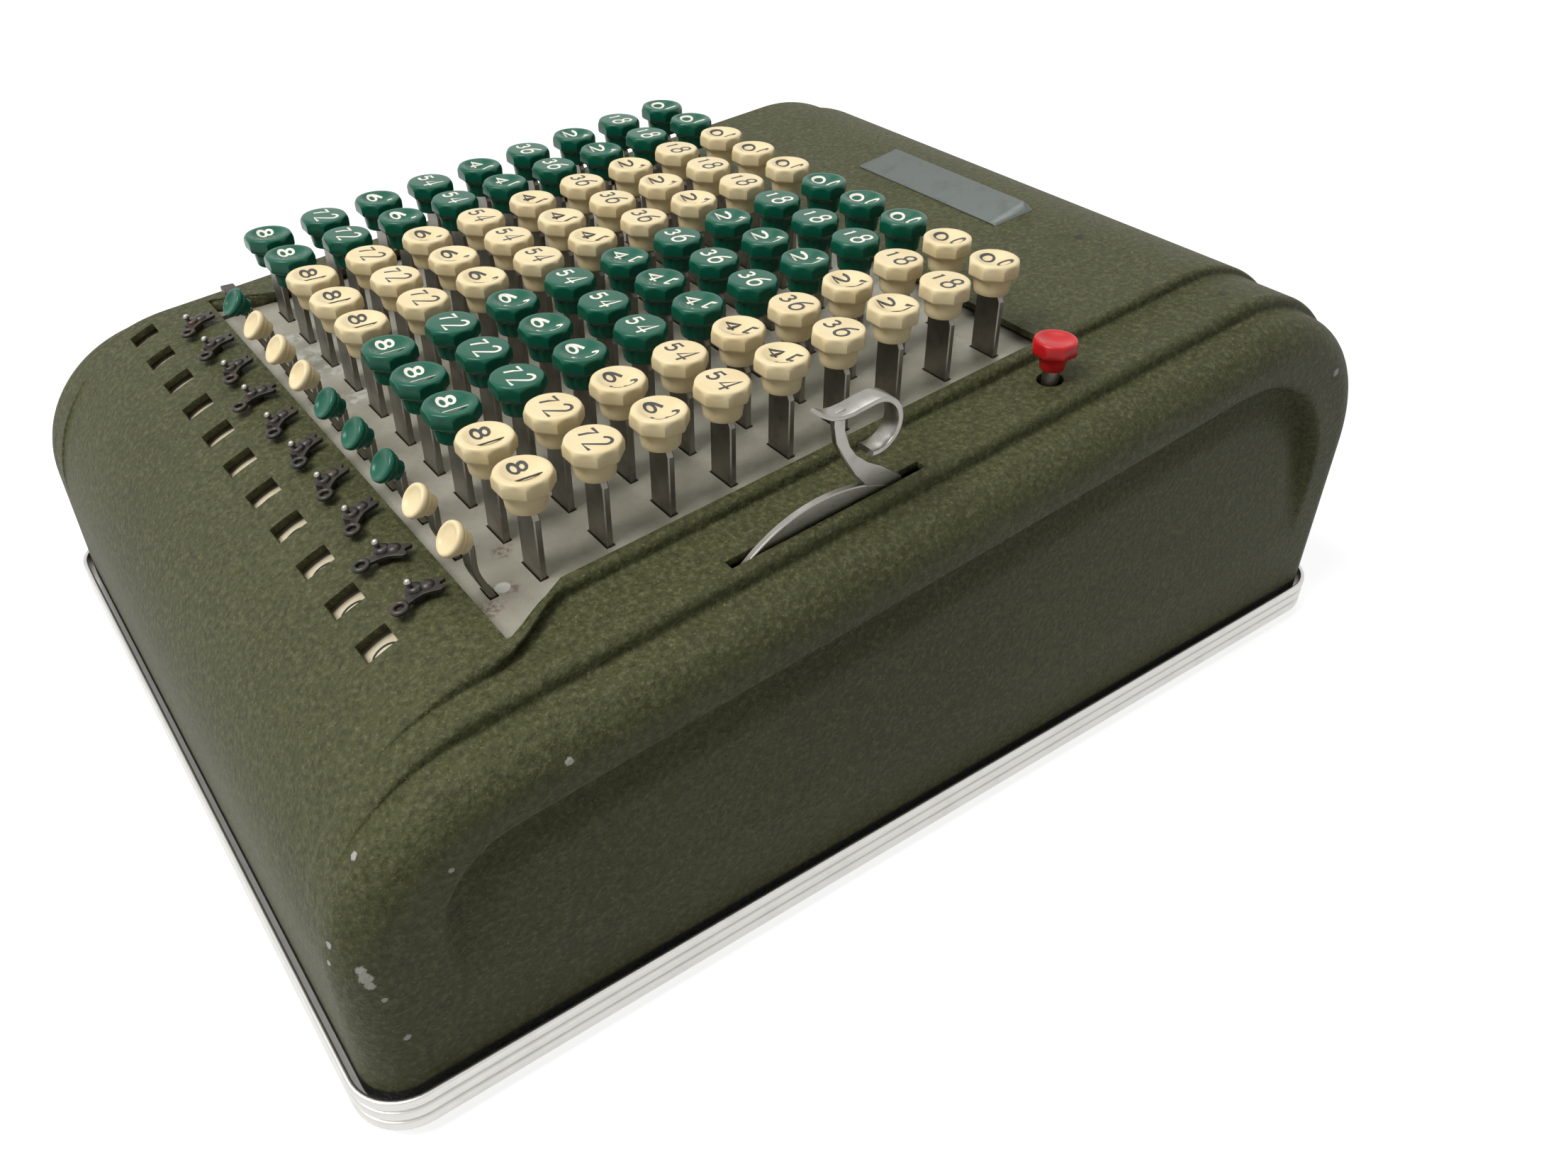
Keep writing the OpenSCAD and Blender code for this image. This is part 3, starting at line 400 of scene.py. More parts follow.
keySizes = {
    "rise": 28.15,    # key top over the plate
    "flatRadius": 6.88,    # from the middle to an octagon face
    "cornerRadius": 7.42,
    "rimRadius": 7.1,
    "capHeight": 4.7,
    "neckHeight": 5.0,
    "dishRadius": 5.2,
    "dishDepth": 1.6,
    "stemWidth": 9.2,
    "stemThick": 1.8,
    "stemEdge": 0.28,
    "taperLength": 1.8,    # the stem narrows where it enters the neck
    "taperShare": 0.74,
    "taperIn": 0.2,
    "footDrop": 38.0,
    "segments": 64,
    "columnsGreen": (1, 2, 6, 7, 8),
    "foot": 0.5,    # radius at which the rings start under the neck
    # radius, height over the neck's foot
    "neck": ((4.35, 0.0), (4.75, 0.14), (4.95, 0.5), (5.12, 2.0), (5.3, 3.6), (5.45, 4.4),
        (5.75, 4.85)),
    # inset from the octagon, height over the cap's underside
    "under": ((1.0, 0.06), (0.5, 0.22), (0.18, 0.52), (0.03, 0.95)),
    # inset, share of the octagon against the round rim, height from the top
    "crown": ((0.0, 1.0, -1.75), (0.0, 0.9, -1.4), (0.02, 0.68, -1.05), (0.07, 0.4, -0.76),
        (0.16, 0.16, -0.5), (0.3, 0.03, -0.28), (0.5, 0.0, -0.12), (0.78, 0.0, -0.03),
        (1.1, 0.0, 0.0)),
    "dishEdge": ((0.35, 0.0), (0.05, -0.06)),    # past the dish's radius, height
    "dish": (0.94, 0.82, 0.66, 0.48, 0.28, 0.1),    # shares of the dish's radius
    "flat": (0.85, 0.5, 0.1),    # the same, for a flat key
}


def octagon(a, size, corner):
    d = (a + pi / 8) % (pi / 4) - pi / 8
    return min(size / cos(d), corner)


def capHeightAt(rho, dished):    # height of a key's top face at a distance from its middle
    k = keySizes
    if not dished or rho >= k["dishRadius"]:
        return 0.0
    ball = (k["dishRadius"] ** 2 + k["dishDepth"] ** 2) / (2 * k["dishDepth"])
    return ball - k["dishDepth"] - sqrt(ball * ball - rho * rho)


def keyRings(dished):    # radius or inset, share of the octagon, height
    k = keySizes
    low = -k["capHeight"]
    foot = low - k["neckHeight"]
    edge = k["dishRadius"]
    rings = [(k["foot"], None, foot)]
    rings += [(radius, None, foot + z) for radius, z in k["neck"]]
    rings += [(inset, 1.0, low + z) for inset, z in k["under"]]
    rings += k["crown"]
    if dished:
        rings += [(edge + past, None, z) for past, z in k["dishEdge"]]
    for share in k["dish" if dished else "flat"]:
        rings.append((edge * share, None, capHeightAt(edge * share, dished)))
    return rings


def addCap(shape, x, y, z, dished):
    k = keySizes
    count = k["segments"]
    rings = []
    for size, share, h in keyRings(dished):
        def reach(a, size=size, share=share):
            if share is None:
                return size
            eightSided = octagon(a, k["flatRadius"], k["cornerRadius"])
            return share * eightSided + (1 - share) * k["rimRadius"] - size
        rings.append(ring(reach, z + h, count, x, y))
    shape.loft(rings)


def addStem(shape, x, y, topZ):
    k = keySizes
    w = k["stemWidth"] / 2
    t = k["stemThick"] / 2
    e = k["stemEdge"]
    outline = [(-w + e, -t), (w - e, -t), (w, -t + e), (w, t - e)]
    outline += [(w - e, t), (-w + e, t), (-w, t - e), (-w, -t + e)]
    low = topZ - k["rise"] - k["footDrop"]
    high = topZ - k["capHeight"] - k["neckHeight"]
    rings = [[(x + px, y + py, z) for px, py in outline] for z in (low, high - k["taperLength"])]
    rings.append([(x + px * k["taperShare"], y + py, high + k["taperIn"]) for px, py in outline])
    shape.loft(rings)


def arc(cx, cy, rx, ry, a0, a1, steps):    # from angle a0 to a1, in degrees
    angles = [radians(a0 + (a1 - a0) * i / steps) for i in range(steps + 1)]
    return [(cx + rx * cos(a), cy + ry * sin(a)) for a in angles]


digitStrokes = (    # 0 to 9 on a field 1 wide and 2 high, from its middle
    [arc(0, 0, 0.5, 1.0, 90, 450, 28)],
    [[(-0.18, 0.72), (0.05, 1.0), (0.05, -1.0)]],
    [arc(0, 0.52, 0.46, 0.48, 165, -40, 16) + [(-0.48, -1.0), (0.5, -1.0)]],
    [arc(-0.02, 0.52, 0.42, 0.48, 150, -80, 14) + arc(-0.02, -0.48, 0.5, 0.52, 80, -150, 16)],
    [[(0.22, -1.0), (0.22, 1.0), (-0.5, -0.42), (0.55, -0.42)]],
    [[(0.42, 1.0), (-0.34, 1.0), (-0.42, 0.12)] + arc(-0.02, -0.38, 0.48, 0.62, 125, -145, 18)],
    [[(0.34, 1.0)] + arc(0.42, -0.3, 0.92, 1.15, 118, 178, 10)[1:]
     + arc(0, -0.42, 0.5, 0.58, 175, 535, 26)],
    [[(-0.48, 1.0), (0.48, 1.0), (0.1, 0.1), (-0.08, -1.0)]],
    [arc(0, 0.54, 0.4, 0.46, -90, 270, 22), arc(0, -0.46, 0.5, 0.54, 90, 450, 24)],
    [arc(0, 0.42, 0.5, 0.58, -5, 355, 26) + arc(-0.42, 0.3, 0.92, 1.15, -2, -62, 10)],
)


def addDigit(shape, digit, place, x, width, height, stroke):
    for path in digitStrokes[digit]:
        line = [(x + px * width, py * height / 2) for px, py in path]
        addRibbon(shape, line, stroke, place)


ribbonSizes = {    # heights over the surface that carries the ribbon
    "edge": 0.035,
    "middle": 0.05,
    "sunk": -0.25,
    "loopGap": 0.05,    # a line whose ends are nearer than this closes on itself
}


def addRibbon(shape, line, width, place):    # a thin closed band that follows a surface
    k = ribbonSizes
    left, right = [], []
    loop = hypot(line[0][0] - line[-1][0], line[0][1] - line[-1][1]) < k["loopGap"]
    if loop:
        line = line[:-1]
    n = len(line)
    for i, (px, py) in enumerate(line):
        a = line[i - 1] if i or loop else line[0]
        b = line[(i + 1) % n] if i < n - 1 or loop else line[-1]
        dx, dy = b[0] - a[0], b[1] - a[1]
        size = hypot(dx, dy) or 1.0
        nx, ny = -dy / size * width / 2, dx / size * width / 2
        left.append((px + nx, py + ny))
        right.append((px - nx, py - ny))
    rails = [shape.add([place(px, py, k[lift]) for px, py in points]) for points, lift in (
        (left, "edge"), (line, "middle"), (right, "edge"), (left, "sunk"), (right, "sunk"))]
    tops, middle, tops2, low, low2 = rails
    for i in range(n if loop else n - 1):
        j = (i + 1) % n
        for a, b in ((tops, middle), (middle, tops2), (low, tops), (tops2, low2), (low2, low)):
            shape.face(a + i, a + j, b + j, b + i)
    if not loop:
        for i, turn in ((0, 1), (n - 1, -1)):
            corners = (tops + i, middle + i, tops2 + i, low2 + i, low + i)
            shape.face(*corners[::turn])


numeralSizes = {    # x, width, height
    "small": (-2.8, 2.9, 4.3),
    "large": (2.7, 3.5, 6.8),
    "stroke": 0.82,
}


def addNumerals(shape, x, y, z, row):
    n = numeralSizes
    dished = row % 2 == 1

    def place(px, py, lift):
        return (x + px, y + py, z + lift + capHeightAt(hypot(px, py), dished))
    addDigit(shape, 9 - row, place, *n["small"], n["stroke"])
    addDigit(shape, row, place, *n["large"], n["stroke"])


def columnLook(column):    # slot, plastic and numerals of a column's keys and button
    if column in keySizes["columnsGreen"]:
        return "key_green", greenPlastic, whiteFill
    return "key_cream", creamPlastic, blackFill


def makeKeys(column, rows, body, replaced, tag):
    k = keySizes
    caps, stems, marks = Shape(), Shape(), Shape()
    for row in rows:
        x, y = colX(column), rowY(row)
        top = plateZ(y) + k["rise"]
        addCap(caps, x, y, top, row % 2 == 1)
        addStem(stems, x, y, top)
        addNumerals(marks, x, y, top, row)
    slot, plastic, fill = columnLook(column)
    piece("caps" + tag, caps, body, plastic, (replaced,), 38)
    piece("stems" + tag, stems, body, stemSteel, (), 25)
    piece("numerals" + tag, marks, body, fill, (), 60)


for column in range(1, 10):
    makeKeys(column, range(1, 10), f"keys_{column}", f"keys_column_{column}", f"Column{column}")
for row in range(1, 10):
    makeKeys(10, (row,), f"units_key_{row}_body", f"units_key_{row}", f"Units{row}")
print("keys made")


def leaned(x, y, z, lean, turn=0.0):    # a place's own axes, turned about z, then leaned about x
    ca, sa = cos(lean), sin(lean)
    ct, st = cos(turn), sin(turn)

    def place(px, py, pz):
        rx, ry = px * ct - py * st, px * st + py * ct
        return (x + rx, y + ry * ca - pz * sa, z + ry * sa + pz * ca)
    return place


def headings(path):    # at each point, the way from the point before to the point after
    ends = zip([path[0], *path], [*path[1:], path[-1]])
    return [(b[0] - a[0], b[1] - a[1]) for a, b in ends]


def turned(shape, profile, count, place):    # a body of rings from radius and height pairs
    shape.loft([[place(*point) for point in ring(radius, h, count)] for radius, h in profile])


def hollow(shape, section, count, place):    # the same for a closed section clear of the axis
    angles = [2 * pi * i / count for i in range(count)]
    shape.hoop([[place(reach * cos(a), reach * sin(a), h) for reach, h in section] for a in angles])


caseSizes = {
    "sheet": 2.0,
    "bottom": 10.0,
    # rise over the plate, front and rear radius of the raised panel, the strips and the shoulders
    "levels": ((4.0, 60.0, 59.0), (0.5, 52.0, 56.0), (-4.0, 45.0, 54.0)),
    "panelHalf": 100.5,
    "panelFrontHalf": 112.5,
    "flareRear": -97.3,
    "flareFront": -122.3,
    "openHalf": 97.0,
    "openFrontHalf": 107.5,
    "openRear": 56.0,
    "openFront": -119.3,
    "openLand": -118.0,
    "openFlare": -100.0,
    "innerHalf": 100.975,    # the two lines beside the opening, once they are ahead of it
    "outerHalf": 108.575,
    "aheadFrom": -121.0,
    "aheadLength": 15.0,
    "landWidth": 2.0,
    "stripHalf": 121.3,
    "caseHalf": 135.5,
    "roll": 11.0,
    "outwardSlot": 15,    # how many lines out from the opening's edge
    "outwardHole": 14,
    "curveSteps": 42,
    "extraRows": (-122.3, -115.5, -113, -110.5, -108, -105.5, -103, -97.3),
    "slotSides": (114.4, 117.6),
    "slotEnds": (-66.0, -6.0),
    "windowAngles": (109.84, 117.96),
    "windowHalf": 3.8,
    "holeX": 110.0,
    "holeY": 46.4,
    "holeRadius": 3.75,
    "holeShare": 0.318,    # where the face of the hole starts on the strip
    "holeEnds": (41.6, 51.2),
    "recessFoot": 39.0,
    "recessLean": tan(radians(3.8)),
    "recessFront": (-131.0, 22.0),
    "recessRear": (111.0, 45.0),
    "recessDrop": 21.0,
    "recessRise": 40.0,    # the groove deepens to its full depth over this height
    "recessEdge": (1.8, 3.8),    # where a slope starts, and its length
    "grooveOuter": (0.8, 2.4),
    "grooveInner": (15.0, 12.0),
    "grooveDepth": 3.0,
    "wallRows": 60,
    # steps down between levels, each as two quarter curves:
    # level, offset and its sweep, part of the drop and its sweep, the whole drop
    "steps": ((0, -2.0, 1.92, 0.0, 2.0, 3.5), (0, 1.0, -0.92, 2.5, 1.0, 3.5),
        (1, -2.5, 2.42, 0.0, 2.5, 4.5), (1, 1.2, -1.12, 3.3, 1.2, 4.5)),
}

topAngle = pi / 2 + machine["tilt"]    # where the curves meet the sloping top


def levelPoint(level, station, inset=0.0):    # y and z of a level's outline
    zone, value = station    # walls 0 and 4, curves 1 and 3, sloping top 2
    rise, front, rear = caseSizes["levels"][level]
    side, radius = (-1, front) if zone < 3 else (1, rear)
    half, low = machine["caseHalfDepth"], caseSizes["bottom"]
    y = side * (half - radius)
    z = plateZ(y) + rise - radius / cos(machine["tilt"])
    if zone in (0, 4):
        return (side * (half - inset), low + value * (z - low))
    if zone in (1, 3):
        return (y + (radius - inset) * cos(value), z + (radius - inset) * sin(value))
    a, b = [levelPoint(level, (end, topAngle), inset) for end in (1, 3)]
    return (a[0] + value * (b[0] - a[0]), a[1] + value * (b[1] - a[1]))


def topShare(level, y):    # place along a level's sloping top, 0 in front and 1 behind
    a = levelPoint(level, (2, 0.0))[0]
    b = levelPoint(level, (2, 1.0))[0]
    return (y - a) / (b - a)


def panelHalfAt(y):
    k = caseSizes
    t = max(0.0, min(1.0, (y - k["flareRear"]) / (k["flareFront"] - k["flareRear"])))
    return k["panelHalf"] + (1 - cos(pi * t)) / 2 * (k["panelFrontHalf"] - k["panelHalf"])


def openHalfAt(y):
    k = caseSizes
    t = max(0.0, min(1.0, (y - k["openFlare"]) / (k["openLand"] - k["openFlare"])))
    return k["openHalf"] + t * (k["openFrontHalf"] - k["openHalf"])


def caseStations():
    k = caseSizes
    rows = k["wallRows"]
    stations = [(0, i / rows) for i in range(rows)]
    steps = k["curveSteps"]
    angles = [pi + (topAngle - pi) * i / steps for i in range(steps + 1)]
    for edge in k["windowAngles"]:
        nearest = min(range(steps + 1), key=lambda i: abs(angles[i] - radians(edge)))
        angles[nearest] = radians(edge)
    stations += [(1, a) for a in angles]
    shares = [topShare(0, y) for y in (k["openFront"], k["openLand"], k["openFlare"], k["openRear"])]
    shares += [topShare(0, y) for y in k["extraRows"]]
    shares += [topShare(1, y) for y in k["slotEnds"] + k["holeEnds"]]
    shares += [topShare(0, y) for y in range(-90, 110, 10) if y not in (40, 50)]
    shares = sorted(s for s in shares if 0.002 < s < 0.998)
    stations += [(2, s) for s in shares]
    stations += [(3, topAngle * (1 - i / steps)) for i in range(steps + 1)]
    stations += [(4, 1 - i / rows) for i in range(1, rows + 1)]
    return stations


def outwardPoints(station):    # from the opening's edge out to the rolled shoulder
    k = caseSizes
    levels = [levelPoint(level, station) for level in range(3)]
    y = levels[0][0]
    opening, panel, strip = openHalfAt(y), panelHalfAt(y), k["stripHalf"]
    ahead = smooth((k["aheadFrom"] - y) / k["aheadLength"])
    edges = ((k["innerHalf"], opening), (k["outerHalf"], (opening + panel - k["landWidth"]) / 2))
    points = [(ahead * far + (1 - ahead) * near, *levels[0]) for far, near in edges]

    def step(edge, level, offset, sweep, share, shareSweep, drop):
        (ay, az), (by, bz) = levels[level:level + 2]
        rising = share > 0    # the second curve of a step ends level
        for i in range(6):
            a = pi / 2 * i / 5
            x = edge + (offset + sweep * (cos(a) if rising else sin(a)))
            t = (share + shareSweep * (sin(a) if rising else 1 - cos(a))) / drop
            points.append((x, ay + t * (by - ay), az + t * (bz - az)))
    for curve in k["steps"][:2]:
        step(panel, *curve)
    foot, (slot, slotEnd) = panel + 1.0, k["slotSides"]
    across = [foot + share * (slot - foot) for share in (k["holeShare"], 1.0)]
    points += [(x, *levels[1]) for x in (*across, slotEnd)]
    for curve in k["steps"][2:]:
        step(strip, *curve)
    for i in range(13):
        a = pi / 2 * i / 12
        place = levelPoint(2, station, k["roll"] * (1 - cos(a)))
        points.append((k["caseHalf"] - k["roll"] + k["roll"] * sin(a), *place))
    return points


def recessOutline():
    k = caseSizes
    (frontY, frontR), (rearY, rearR) = k["recessFront"], k["recessRear"]
    frontZ = plateZ(frontY) - k["recessDrop"] - frontR
    rearZ = plateZ(rearY) - k["recessDrop"] - rearR
    span = hypot(rearY - frontY, rearZ - frontZ)
    tangent = atan2(rearZ - frontZ, rearY - frontY) + acos((frontR - rearR) / span)
    points = [(frontY - frontR, k["recessFoot"])]
    for i in range(13):
        a = pi + (tangent - pi) * i / 12
        points.append((frontY + frontR * cos(a), frontZ + frontR * sin(a)))
    for i in range(17):
        a = tangent * (1 - i / 16)
        points.append((rearY + rearR * cos(a), rearZ + rearR * sin(a)))
    points.append((rearY + rearR, k["recessFoot"]))
    return points


def recessDepthAt(y, z, outline):    # how far the side wall is sunk, in mm
    k = caseSizes
    if z <= k["recessFoot"]:
        return 0.0
    away = -1e9
    for (ay, az), (by, bz) in zip(outline, outline[1:]):
        span = hypot(by - ay, bz - az)
        if span > 1e-6:
            away = max(away, (-(y - ay) * (bz - az) + (z - az) * (by - ay)) / span)
    up = z - k["recessFoot"]
    slope, outer, inner = [smooth((start + sign * away) / length) for sign, (start, length) in (
        (-1, k["recessEdge"]), (-1, k["grooveOuter"]), (1, k["grooveInner"]))]
    return up * k["recessLean"] * slope + k["grooveDepth"] * smooth(up / k["recessRise"]) * outer * inner


def makeCase():
    k = caseSizes
    shape = Shape()
    stations = caseStations()
    middle = [colX(c) + side * k["windowHalf"] for c in range(1, 11) for side in (-1, 1)]
    starts = []
    for station in stations:
        half = outwardPoints(station)
        across = [(x, *levelPoint(0, station)) for x in middle]
        starts.append(shape.add([(-x, y, z) for x, y, z in reversed(half)] + across + half))
    inner = len(half)
    count = 2 * inner + len(middle)
    left, right = inner - 1, inner + len(middle)    # the opening's two edges

    def index(zone, value):    # the station nearest to a value in its zone
        inZone = [i for i, station in enumerate(stations) if station[0] == zone]
        return min(inZone, key=lambda i: abs(stations[i][1] - value))

    def span(level, ends):
        return range(*[index(2, topShare(level, y)) for y in ends])
    windowRange = range(*sorted(index(1, radians(a)) for a in k["windowAngles"]))
    holeRange = span(1, k["holeEnds"])
    holeLine = right + k["outwardHole"]
    openings = (
        (span(0, (k["openFront"], k["openRear"])), range(left, right)),
        (windowRange, [left - 1] + [inner + 2 * i for i in range(10)]),
        (span(1, k["slotEnds"]), (right + k["outwardSlot"],)),
        (holeRange, (holeLine,)),
    )
    for i in range(len(stations) - 1):
        for j in range(count - 1):
            if not any(i in rows and j in columns for rows, columns in openings):
                shape.face(starts[i] + j, starts[i] + j + 1, starts[i + 1] + j + 1, starts[i + 1] + j)
    addHole(shape, starts, holeRange, holeLine)
    outline = recessOutline()
    for side, j in ((-1, 0), (1, count - 1)):
        addSideWall(shape, stations, starts, side, j, outline)
    return shape


def addHole(shape, starts, span, line):    # flat square face with a round hole in it
    k = caseSizes
    a, b = span[0], span[-1] + 1
    corners = [starts[a] + line + 1, starts[b] + line + 1, starts[b] + line, starts[a] + line]
    circle = []
    for i in range(32):
        turn = -pi / 2 + 2 * pi * i / 32
        x, y = k["holeX"] + k["holeRadius"] * cos(turn), k["holeY"] + k["holeRadius"] * sin(turn)
        circle.append((x, y, plateZ(y) + k["levels"][1][0]))
    first = shape.add(circle)
    for q in range(4):
        for i in range(8):
            shape.face(corners[q], first + (8 * q + i + 1) % 32, first + 8 * q + i)
        shape.face(corners[q], corners[(q + 1) % 4], first + (8 * q + 8) % 32)


def addSideWall(shape, stations, starts, side, line, outline):
    k = caseSizes
    rows = k["wallRows"]
    columns = [i for i, s in enumerate(stations) if s[0] in (1, 2, 3)]
    previous = None
    for i in columns:
        y, z = levelPoint(2, stations[i], k["roll"])
        below = []
        for row in range(rows):
            pz = k["bottom"] + (z - k["bottom"]) * row / rows
            below.append((side * (k["caseHalf"] - recessDepthAt(y, pz, outline)), y, pz))
        first = shape.add(below)
        column = [first + row for row in range(rows)] + [starts[i] + line]
        if previous:
            for row in range(rows):
                shape.face(previous[row], column[row], column[row + 1], previous[row + 1])
        previous = column


sheet = caseSizes["sheet"]
piece("caseShell", makeCase(), "machine", casePaint, ("upper_case",), 32, 0.3, sheet)
print("case made")


trimSizes = {    # fluted base trim: one section swept round the base
    "halfWidth": 138.7,
    "halfDepth": 180.2,
    "cornerRadius": 14.5,
    "bottom": 4.0,
    "flutePitch": 3.967,
    "grooveHeight": 0.8,
    "grooveDepth": 0.7,
    "fluteBulge": 0.6,
    "top": 15.1,
    "lip": 1.5,
    "ledge": 10.0,
    "innerStep": 7.2,
    "flange": 15.2,
    "panSeat": 5.0,
}


def trimSection():
    k = trimSizes
    points = []
    for flute in range(3):
        low = k["bottom"] + flute * k["flutePitch"]
        high = low + k["flutePitch"] - k["grooveHeight"]
        for i in range(9):
            a = -pi / 2 + pi * i / 8
            z = (low + high) / 2 + (high - low) / 2 * sin(a)
            points.append((-k["grooveDepth"] * (1 - abs(cos(a)) ** k["fluteBulge"]), z))
        if flute < 2:
            points.append((-k["grooveDepth"] - 0.1, high + k["grooveHeight"] / 2))
    points += [(-1.0, k["top"]), (-1.35, k["top"] - 0.1), (-k["lip"], k["top"] - 0.3)]
    points += [(-k["lip"], k["ledge"]), (-k["innerStep"], k["ledge"]), (-k["innerStep"], k["panSeat"])]
    points += [(-k["flange"], k["panSeat"]), (-k["flange"], k["bottom"])]
    return points


def makeTrim():
    k = trimSizes
    shape = Shape()
    section = trimSection()
    rings = []
    for corner, (sx, sy) in enumerate(((1, -1), (1, 1), (-1, 1), (-1, -1))):
        for i in range(13):
            a = -pi / 2 + pi / 2 * corner + pi / 2 * i / 12
            points = []
            for out, z in section:
                radius = max(k["cornerRadius"] + out, 0.3)
                x = sx * (k["halfWidth"] + out - radius) + radius * cos(a)
                y = sy * (k["halfDepth"] + out - radius) + radius * sin(a)
                points.append((x, y, z))
            rings.append(points)
    shape.hoop(rings)
    return shape


piece("trimRing", makeTrim(), "machine", trimAluminium, ("base_trim",), 50)
print("trim made")


buttonSizes = {    # cut-off buttons: dished cap that faces the user, flat stem bent up to it
    "slotY": -113.25,
    "lean": radians(22.9),    # the stem's way through the plate
    "face": radians(53),    # the cap's own lean
    "reach": 20.3,
    "profile": ((0.05, -5.6), (2.3, -5.6), (2.6, -5.3), (2.75, -3.6), (3.35, -3.35), (3.6, -3.0),
        (3.62, -2.5), (3.5, -2.25), (3.95, -2.05), (4.25, -1.75), (4.4, -1.3), (4.4, -0.75),
        (4.27, -0.3), (4.0, -0.05), (3.65, 0.0), (3.25, -0.12), (2.85, -0.45), (2.2, -0.7),
        (1.1, -0.88), (0.05, -0.9)),
    "stemWidth": 5.0,
    "stemThick": 1.6,
    "path": ((-6.5, 0.0), (0.0, 0.0), (7.0, 0.0), (9.0, 0.25), (11.0, 0.9), (13.5, 2.0), (16.4, 3.2)),
}


def makeButton(column):
    k = buttonSizes
    along = leaned(colX(column), k["slotY"], plateZ(k["slotY"]), k["lean"])
    place = leaned(*along(0.0, 0.0, k["reach"]), k["face"])
    cap, stem = Shape(), Shape()
    turned(cap, k["profile"], 48, place)
    w, t = k["stemWidth"] / 2, k["stemThick"] / 2
    rings = []
    for (s, back), (ds, db) in zip(k["path"], headings(k["path"])):
        bend = atan2(db, ds)
        rings.append([along(px, back + py * cos(bend), s - py * sin(bend))
                      for px, py in ((-w, -t), (w, -t), (w, t), (-w, t))])
    stem.loft(rings)
    slot, plastic = columnLook(column)[:2]
    body = f"cutoff_{column}"
    piece(f"buttonCap{column}", cap, body, plastic, (f"cutoff_button_{column}",), 50)
    piece(f"buttonStem{column}", stem, body, stemSteel, (), 30, 0.25)


for column in range(2, 11):
    makeButton(column)
print("buttons made")


pointerSizes = {    # decimal pointers on the front curve
    "shift": -5.2,
    "y": -128.243,
    "z": 105.437,
    "lean": radians(10.8),
    "turns": (-9, -11, 3, -31, 0, 2, 1, -2, -56, -38),
    "leafFoot": 1.6,
    "leafTop": 2.6,
    "leaf": ((5.0, -0.5), (3.2, 1.1), (1.9, 2.7), (1.3, 4.4), (0.9, 6.5), (0.1, 7.1), (-0.6, 6.6),
        (-1.1, 5.6), (-1.8, 5.7), (-2.7, 6.5), (-3.5, 6.3), (-3.4, 5.5), (-2.9, 3.6), (-2.5, 1.6),
        (-2.3, 0.0), (-1.9, -1.4), (-0.9, -2.4), (0.3, -2.5), (1.3, -1.9), (2.2, -1.1), (4.1, -2.0)),
    # radius, height
    "hub": ((0.05, 2.2), (1.95, 2.2), (1.95, 2.6), (1.8, 3.1), (1.45, 3.45), (0.6, 3.6), (0.05, 3.6)),
    "rivet": ((0.05, 2.2), (2.0, 2.2), (1.85, 2.65), (1.6, 3.0), (1.15, 3.35), (0.6, 3.5), (0.05, 3.55)),
    "disc": ((0.05, 1.6), (1.5, 1.6), (1.5, 2.0), (0.05, 2.05)),
    "neck": ((0.05, 3.2), (0.85, 3.2), (0.6, 3.6), (0.55, 4.2), (0.05, 4.4)),
    # places on the leaf
    "dome": (-0.9, 2.7),
    "ring": (6.0, -2.2),
    "ringSection": (2.35, 1.72, 0.7),    # height, radius, thickness
    "ball": (0.1, -0.9),
    "ballSection": (4.75, 1.0),    # height, radius
}


def makePointer(column):
    k = pointerSizes
    turn = radians(k["turns"][column - 1])
    place = leaned(colX(column) + k["shift"], k["y"], k["z"], k["lean"], turn)

    def onLeaf(x, y):
        return lambda px, py, pz: place(x + px, y + py, pz)
    height, radius, thick = k["ringSection"]
    angles = [2 * pi * i / 10 for i in range(10)]
    ringSection = [(radius + thick * cos(a), height + thick * sin(a)) for a in angles]
    height, radius = k["ballSection"]
    angles = [pi * i / 10 for i in range(11)]
    ballSection = [(max(0.02, radius * sin(a)), height - radius * cos(a)) for a in angles]
    leaf, knob = Shape(), Shape()
    leaf.prism(k["leaf"], place, k["leafFoot"], k["leafTop"])
    turned(leaf, k["hub"], 24, place)
    turned(leaf, k["rivet"], 24, onLeaf(*k["dome"]))
    hollow(leaf, ringSection, 24, onLeaf(*k["ring"]))
    turned(leaf, k["disc"], 20, onLeaf(*k["ring"]))
    turned(leaf, k["neck"], 14, onLeaf(*k["ball"]))
    turned(knob, ballSection, 16, onLeaf(*k["ball"]))
    name, body = f"pointer_{column}", f"pointer_{column}_body"
    piece(f"pointerLeaf{column}", leaf, body, bluedSteel, (name,), 40, 0.12)
    piece(f"pointerKnob{column}", knob, body, nickelPlate, (), 80)


for column in range(1, 11):
    makePointer(column)
print("pointers made")


leverSizes = {    # clear lever: disc segment, leaning web and rolled finger hook
    "x": 116.0,
    "pivotY": -34.5,
    "pivotZ": 77.0,
    "rim": 41.0,
    "rimArc": (60, 178),    # degrees
    "thick": 2.0,
    "hookWidth": 5.8,
    "hookThick": 1.7,
    "hookMiddle": (10.5, 56.8),
    "hookRadius": 7.2,
    "hookEdge": 0.5,
    "hookArc": (97, -100),
    "hookTip": ((-6.4, 64.9), (-5.2, 64.2), (-3.4, 63.3), (-0.6, 62.75), (2.6, 62.8), (6.0, 63.4)),
    "web": ((9.4, 39.5), (5.5, 44.0), (2.4, 49.0), (-0.8, 55.0), (-1.6, 60.0), (-1.4, 63.6), (1.6, 64.0),
        (1.8, 58.0), (3.6, 53.0), (5.7, 50.0), (9.5, 46.5), (14.0, 43.8), (21.0, 38.6), (22.0, 36.0),
        (18.0, 33.0), (11.0, 33.0)),
    "webInset": 0.02,
}


